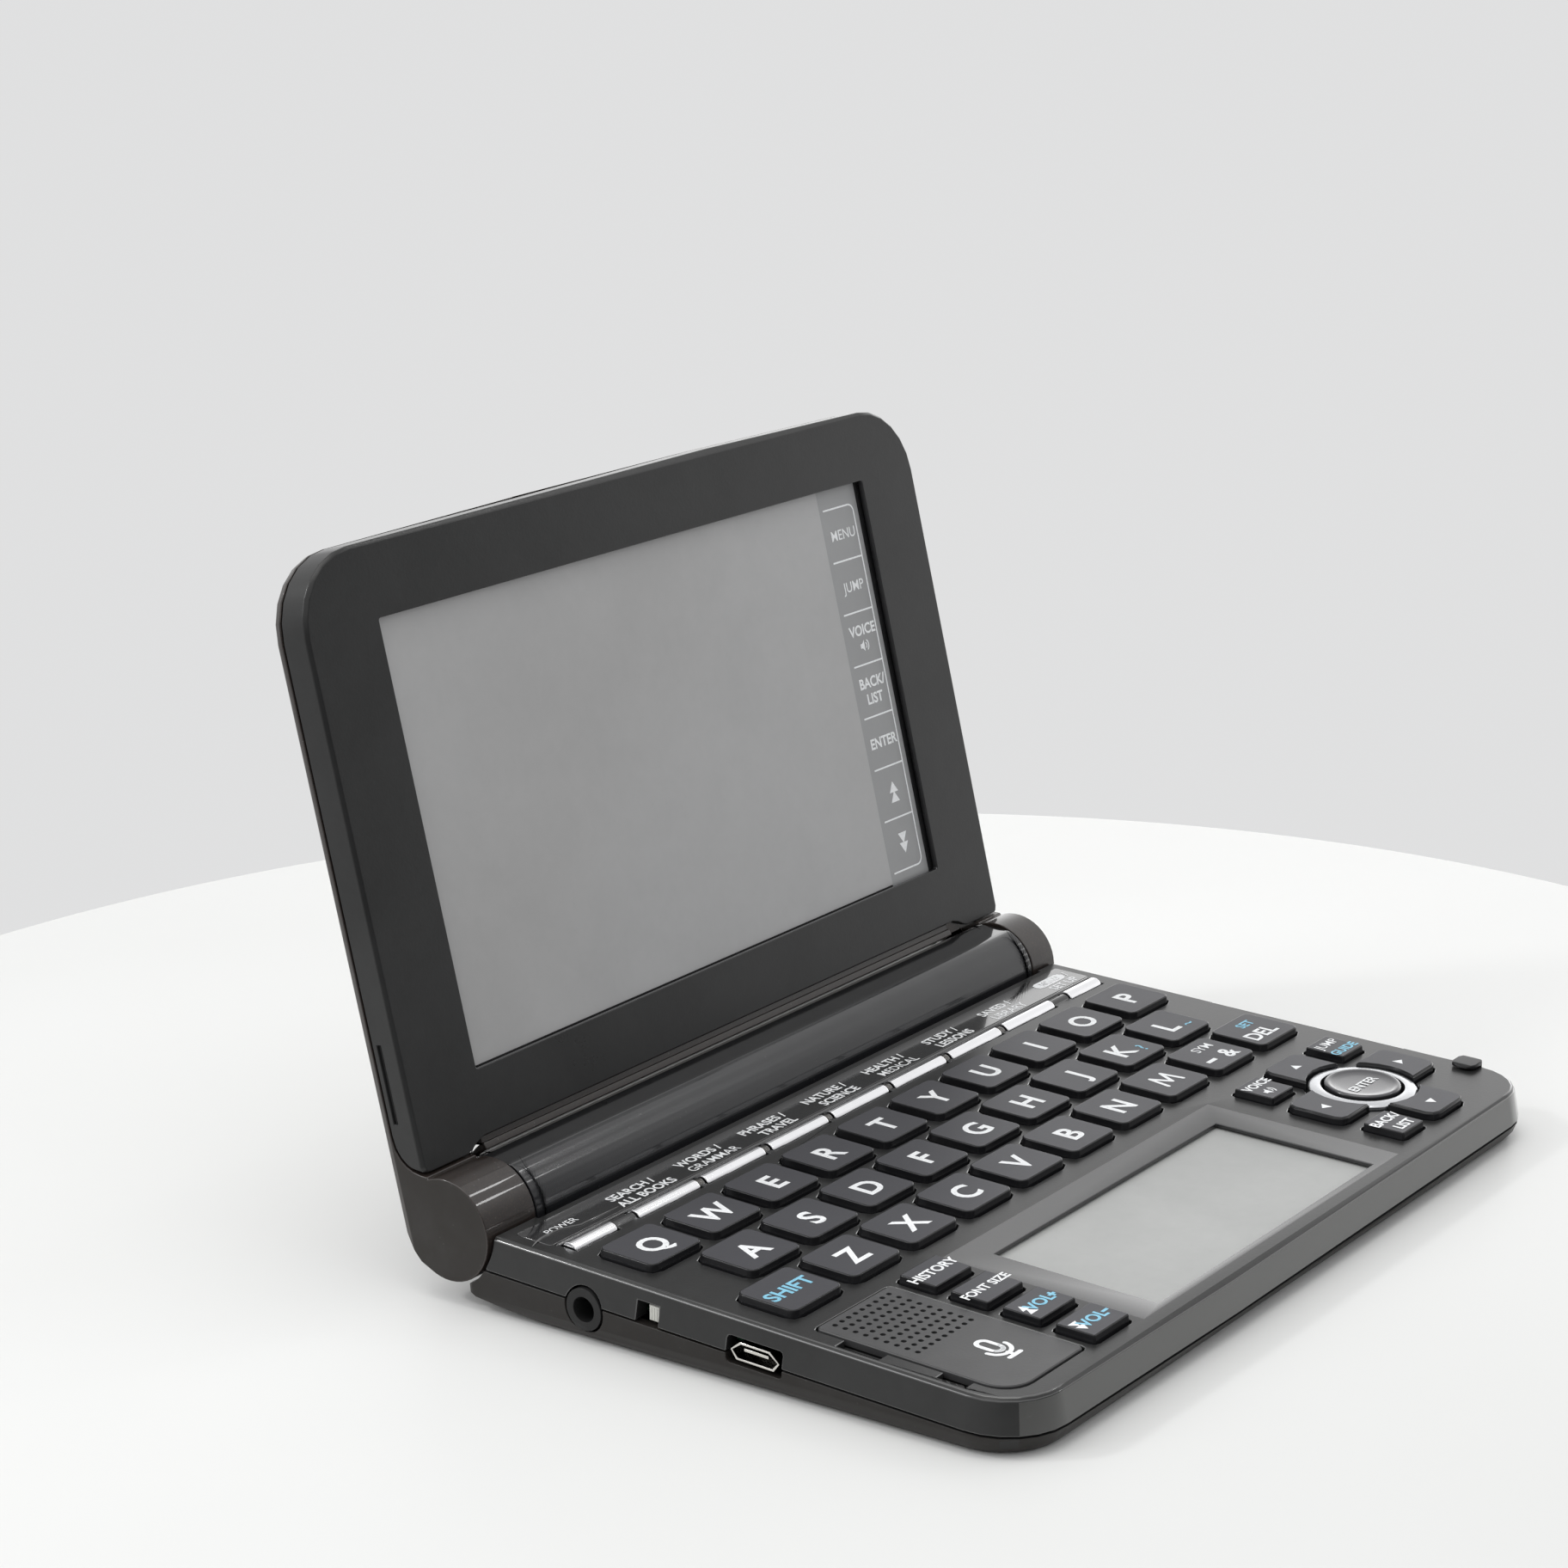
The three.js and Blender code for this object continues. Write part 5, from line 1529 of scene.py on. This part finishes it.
        # The data socket's front rim is bright steel; its inner walls take the darker plating as painted
        # shade.
        if self.data_socket[0] < spot.y < self.data_socket[1]:
            return Finish.STEEL if normal.x < -0.6 else Finish.SMOKED
        return Finish.SOCKET

    def casing(self) -> None:
        """Dresses both halves of the casing and the board with its sockets."""
        # The upper casing's rounded edges take the lighter edge finish, a painted highlight.
        Shell("upper_case", "base", self.deck, "charcoal_plastic", self.upper_pick, self.facet_point,
              {Finish.CASE: Finish.EDGE}).build()
        Shell("lower_case", "base", self.deck, "brown_gloss", self.lower_pick).build()
        Shell("main_board", "base", self.deck, "board_laminate", self.board_pick, round=0.09,
              sharp=40).build()

    def pen_panel(self) -> None:
        """Builds the pen panel: a satin film whose walls are painted near-black as shade, a fine dark
        border.
        """
        low, high = span("pen_panel", self.deck)
        form = Form()
        form.cap(around(low, high, 0.0, 0.4, 3), low.z, high.z, 0.0, 0.05, Finish.HOLLOW, Finish.PEN_FILM)
        form.piece("pen_panel_looks", "base", self.deck, "pen_film", "pen_panel")

    def speaker(self) -> None:
        """Builds the speaker cover with its sound holes, its microphone hole and its icon."""
        low, high = span("speaker_cover", self.deck)
        centre = (low.x + high.x) / 2
        mic_y = low.y + self.mic_inset
        half = (self.hole_count - 1) / 2
        across, along = self.hole_pitch
        holes = [
            circle(centre + (column - half) * across, high.y - self.hole_margin - row * along,
                   self.hole_radius, self.hole_facets)
            for row in range(self.hole_count) for column in range(self.hole_count)
        ]
        holes.append(circle(centre, mic_y, self.mic_radius, self.hole_facets))
        outline = Outline(low.x, high.x, low.y, high.y, self.cover_corners, 8)
        rim = [(x, y) for x, y, _ in outline.ring(self.cover_plate_inset, 0)]
        form = Form()
        form.plate(rim, holes, high.z - self.cover_thickness, high.z, Finish.SPEAKER)
        rows = [form.row(outline.ring(inset, high.z - drop)) for inset, drop in self.cover_edge]
        rows.append(form.row(outline.ring(0, low.z)))
        for upper, lower in zip(rows, rows[1:]):
            form.band(lower, upper, Finish.SPEAKER)
        # Its underside, and a sheet under the holes, are painted near-black as shade.
        form.face(rows[-1][::-1], Finish.HOLLOW)
        form.face(form.row([(x, y, high.z - self.shade_sheet_drop) for x, y in rim]), Finish.HOLLOW)
        form.print(printed(Sign(Icon.MICROPHONE, 1.0, -0.4, self.mic_icon)), high.z, centre, mic_y)
        form.piece("speaker_cover_looks", "base", self.deck, "charcoal_plastic", "speaker_cover", 50)

    def switch(self) -> None:
        """Builds the pale slider of the switch with its grip lines."""
        low, high = span("power_switch_slider", self.deck)
        form = Form()
        form.loft([
            [(x, low.y + inset, low.z + inset), (x, high.y - inset, low.z + inset),
             (x, high.y - inset, high.z - inset), (x, low.y + inset, high.z - inset)]
            for x, inset in [*((low.x + ahead, inset) for ahead, inset in self.slider_rings), (high.x, 0.0)]
        ], Finish.SWITCH)
        pitch = (high.y - low.y) / (self.grip_lines + 1)
        foot, top = low.z + self.grip_inset, high.z - self.grip_inset
        for line in range(self.grip_lines):
            y = low.y + pitch * (line + 1)
            form.loft([[(x, y - r, foot), (x, y + r, foot), (x, y + r, top), (x, y - r, top)]
                       for x, r in ((low.x + ahead, r) for ahead, r in self.grip_section)], Finish.SWITCH)
        form.piece("switch_slider_looks", "power_switch", self.deck, "switch_plastic", "power_switch_slider")

    def power_store(self) -> None:
        """Dresses the battery cover, and the cells, whose CAD node stays."""
        Shell("battery_cover", "battery_door", self.deck, "brown_gloss", lambda *_: Finish.PEARL).build()
        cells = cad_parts["battery_cells"]
        cells.data.materials.clear()
        cells.data.materials.append(Finish.CELL.material())
        log.info("battery_cells: CAD node kept, dressed in %s", Finish.CELL.value.name)

    def build(self) -> None:
        """Builds the base."""
        self.casing()
        self.pen_panel()
        self.speaker()
        self.switch()
        self.power_store()


@dataclass
class Stylus:
    """The pen in the right side, of which the nub shows."""

    deck: Matrix

    def build(self) -> None:
        """Dresses the stylus."""
        Shell("stylus", "pen", self.deck, "black_plastic", lambda *_: Finish.STYLUS, round=0.22,
              sharp=35).build()


# The lid


@dataclass
class Lid:
    """The bezel, the outer cover with its knuckles, and the display with its touch strip."""

    screen: Matrix
    # The shells: half their width, top of the knuckles, and the bezel's window
    half_width: float = 74.0
    knuckle_top: float = 17.0
    window: tuple[float, float, float] = (59.6, 19.4, 88.4)
    window_floor: float = -2.12
    # The glass of the display and of the strip
    glass_left: float = -59.0
    strip_left: float = 47.7
    glass_right: float = 58.2
    glass_low: float = 20.1
    strip_low: float = 19.3
    glass_high: float = 87.9
    glass_rise: float = 0.012
    ink_rise: float = 0.01
    # The strip's cells and labels, from the lowest up
    cell_left: float = 48.8
    cell_right: float = 56.9
    cell_low: float = 21.7
    cell_pitch: float = 8.985
    cell_corner: float = 1.3
    line: float = 0.3
    labels: tuple[tuple[str | Icon, ...], ...] = (
        (Icon.DOUBLE_DOWN,), (Icon.DOUBLE_UP,), ("ENTER",), ("BACK/", "LIST"), ("VOICE", Icon.SPEAKER),
        ("JUMP",), ("MENU",),
    )
    label_pitch: float = 2.8
    label_capital: float = 1.8
    label_bold: float = 0.03
    icon_size: float = 2.0
    speaker_size: float = 1.3

    def bezel_pick(self, spot: Vector, normal: Vector) -> Finish:
        """Picks the finish of a face of the bezel.

        Args:
            spot: Middle of the face.
            normal: Its normal.

        Returns:
            Gloss on the walls round the window, and charcoal elsewhere.
        """
        half, low, high = self.window
        sunk = abs(spot.x) < half and low < spot.y < high and spot.z < self.window_floor
        return Finish.RECESS if sunk and abs(normal.z) < 0.9 else Finish.CASE

    def cover_pick(self, spot: Vector, normal: Vector) -> Finish:
        """Picks the finish of a face of the cover: satin on the knuckles' ends, pearl elsewhere."""
        end = abs(normal.x) > 0.97 and abs(spot.x) > self.half_width - 0.6 and spot.y < self.knuckle_top
        return Finish.KNUCKLE_END if end else Finish.PEARL

    def strip_ink(self) -> Ink:
        """Draws the strip's frame lines, words and icons.

        Returns:
            The marks.
        """
        left, right, low, corner = self.cell_left, self.cell_right, self.cell_low, self.cell_corner
        top = low + self.cell_pitch * len(self.labels)
        things: list[Line | Sign | Word] = [Line((
            (left, low), *sweep(right - corner, low + corner, corner, 270, 360, 6),
            *sweep(right - corner, top - corner, corner, 0, 90, 6), (left, top),
        ), self.line)]
        for place in range(1, len(self.labels)):
            y = low + self.cell_pitch * place
            things.append(Line(((left, y), (right, y)), self.line, rounded=False))
        centre = (left + right) / 2 + 0.1
        for place, label in enumerate(self.labels):
            y = low + self.cell_pitch * (place + 0.5)
            for line, thing in enumerate(label):
                level = y + ((len(label) - 1) / 2 - line) * self.label_pitch
                if isinstance(thing, Icon):
                    size = self.speaker_size if thing is Icon.SPEAKER else self.icon_size
                    things.append(Sign(thing, centre, level, size))
                else:
                    things.append(Word(thing, centre, level, self.label_capital, bold=self.label_bold))
        return printed(*things)

    def display(self) -> None:
        """Builds the display's window: the grey panel, the darker strip and the printed marks."""
        low, high = span("main_display", self.screen)
        form = Form()
        form.cap(around(low, high, 0.0, 0.3, 3), low.z, high.z, 0.0, 0.05, Finish.GLOSS, Finish.GLOSS)
        level = high.z + self.glass_rise
        for left, right, foot, finish in (
            (self.glass_left, self.strip_left, self.glass_low, Finish.DISPLAY),
            (self.strip_left, self.glass_right, self.strip_low, Finish.STRIP),
        ):
            corners = ((left, foot), (right, foot), (right, self.glass_high), (left, self.glass_high))
            form.face(form.row([(x, y, level) for x, y in corners]), finish)
        form.print(self.strip_ink(), high.z + self.ink_rise)
        form.piece("main_display_looks", "lid", self.screen, "display_window", "main_display")

    def build(self) -> None:
        """Builds the lid."""
        Shell("lid_bezel", "lid", self.screen, "charcoal_plastic", self.bezel_pick, round=0.16).build()
        Shell("lid_cover", "lid", self.screen, "brown_gloss", self.cover_pick, round=0.2).build()
        self.display()


# The setting


@dataclass(frozen=True)
class Room:
    """Tones of the room: in front, on the right in front, on the right behind, and overhead."""

    front: Colour
    right: Colour
    right_behind: Colour
    ceiling: Colour


@dataclass(frozen=True)
class Lamp:
    """A soft lamp: where it hangs and points, in metres, its side, its power in watts and its colour."""

    name: str
    place: Spot
    side: Point
    power: float
    colour: Colour = (1.0, 1.0, 1.0)
    aim: Spot = (-0.07, 0.0, 0.02)

    def hang(self) -> None:
        """Hangs the lamp."""
        data = bpy.data.lights.new(self.name, "AREA")
        data.shape, data.size, data.size_y = "RECTANGLE", *self.side
        data.energy, data.color = self.power, self.colour
        lamp = add_object(self.name, data)
        lamp.location = self.place
        lamp.rotation_euler = (Vector(self.aim) - Vector(self.place)).to_track_quat("-Z", "Y").to_euler()


@dataclass
class Studio:
    """The round pale table, the wall tone, the lamps and the camera."""

    # The table, in millimetres
    table_centre: Point = (-6.6, 48.4)
    table_radius: float = 208.9
    table_edge: float = 4.0
    table_thickness: float = 22.0
    # The light: the wall's tone, the room as it lights and as it is mirrored, and the lamps
    wall: Colour = (0.745, 0.747, 0.75)
    lit: Room = Room((0.5, 0.5, 0.51), (0.8, 0.8, 0.8), (0.9, 0.9, 0.9), (0.76, 0.77, 0.78))
    mirrored: Room = Room((0.15, 0.152, 0.16), (1.2, 1.2, 1.2), (2.2, 2.2, 2.2), (1.0, 1.0, 1.0))
    lamps: tuple[Lamp, ...] = (
        Lamp("ceiling", (-0.1, 0.1, 1.5), (1.0, 1.0), 5.9, (1.0, 0.99, 0.97), (0.0, 0.0, 0.0)),
        Lamp("left_rear", (-1.1, 0.9, 0.9), (0.5, 0.9), 3.5, (0.97, 0.98, 1.0), (0.0, 0.0, 0.02)),
        Lamp("rear_glint", (-0.543, 0.778, 0.825), (0.12, 0.12), 2.4),
        Lamp("right_glint", (0.73, -0.18, 0.87), (0.06, 0.06), 0.18),
        Lamp("right_glint_low", (0.73, -0.5, 0.7), (0.06, 0.06), 0.18),
    )
    # The camera, in millimetres
    eye: Spot = (-427.34, -286.336, 210.984)
    forward: Spot = (0.7598958, 0.5934703, -0.2652384)
    up: Spot = (0.2323902, 0.1330471, 0.9634798)
    lens: float = 83.03

    def table(self) -> None:
        """Builds the round table top."""
        edge, radius, foot = self.table_edge, self.table_radius, -self.table_thickness
        profile = [(0.0, foot), (radius, foot), (radius, -edge), (radius - edge * 0.3, -edge * 0.3),
                   (radius - edge, 0.0), (0.0, 0.0)]
        form = Form()
        form.turned(profile, self.table_centre, (Finish.TABLE,) * 5, 180)
        add_object("round_table", form.shaded("round_table", Matrix.Scale(MM, 4), 50))

    def surroundings(self, wiring: Wiring, room: Room) -> bpy.types.NodeSocket:
        """Grades a room: dim in front, the wall behind, paler to the right, and the ceiling.

        Args:
            wiring: Wiring of the world.
            room: Tones of the room.

        Returns:
            The graded colour.
        """
        way = wiring.add("SeparateXYZ", {0: wiring.add("TexCoord").outputs["Generated"]}).outputs
        behind = wiring.ramp(way["Y"], -0.75, 0.1, "SMOOTHSTEP")
        aside = wiring.ramp(way["X"], 0.55, 0.9, "SMOOTHSTEP")
        overhead = wiring.ramp(way["Z"], 0.2, 0.6, "SMOOTHSTEP")
        back = wiring.mix(behind, rgba(room.front), rgba(self.wall))
        flank = wiring.mix(behind, rgba(room.right), rgba(room.right_behind))
        return wiring.mix(overhead, wiring.mix(aside, back, flank), rgba(room.ceiling))

    def world(self) -> None:
        """Sets the soft light from all round, and the plain wall where the camera looks."""
        world = bpy.data.worlds.new("studio")
        bpy.context.scene.world = world
        world.use_nodes = True
        world.node_tree.nodes.clear()
        wiring = Wiring(world.node_tree)
        path = wiring.add("LightPath").outputs
        seen = wiring.math("MAXIMUM", path["Is Camera Ray"], path["Is Transmission Ray"])
        tone = wiring.mix(path["Is Glossy Ray"], self.surroundings(wiring, self.lit),
                          self.surroundings(wiring, self.mirrored))
        soft = wiring.add("Background", {"Color": tone})
        wall = wiring.add("Background", {"Color": rgba(self.wall)})
        mixed = wiring.add("MixShader", {0: seen, 1: soft.outputs[0], 2: wall.outputs[0]})
        wiring.add("OutputWorld", {"Surface": mixed.outputs[0]})

    def camera(self) -> None:
        """Sets the camera at the photograph's place."""
        data = bpy.data.cameras.new("view")
        data.lens, data.sensor_width = self.lens, 36.0
        data.clip_start, data.clip_end = 0.01, 20.0
        back, rise, place = -Vector(self.forward), Vector(self.up), Vector(self.eye) * MM
        side = rise.cross(back)
        camera = add_object("view", data)
        camera.matrix_world = Matrix((
            (side.x, rise.x, back.x, place.x), (side.y, rise.y, back.y, place.y),
            (side.z, rise.z, back.z, place.z), (0, 0, 0, 1),
        ))
        bpy.context.scene.camera = camera

    def build(self) -> None:
        """Builds the setting."""
        self.camera()
        self.table()
        self.world()
        for lamp in self.lamps:
            lamp.hang()
        bpy.context.scene.view_settings.view_transform = "Standard"


def corners(box: tuple) -> list[list[float]]:
    """Turns a box into plain lists."""
    return [[float(value) for value in corner] for corner in box]


def main() -> None:
    """Builds the dictionary and its setting."""
    logging.basicConfig(level=logging.INFO, format="%(name)s: %(message)s")
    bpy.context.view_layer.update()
    Studio().build()
    deck, screen = LAYOUT.deck(), LAYOUT.screen()
    BaseCase(deck).build()
    LetterKeys(deck).build()
    SmallKeys(deck).build()
    FunctionRow(deck).build()
    CursorCluster(deck).build()
    Stylus(deck).build()
    Lid(screen).build()


if __name__ == "__main__":
    main()
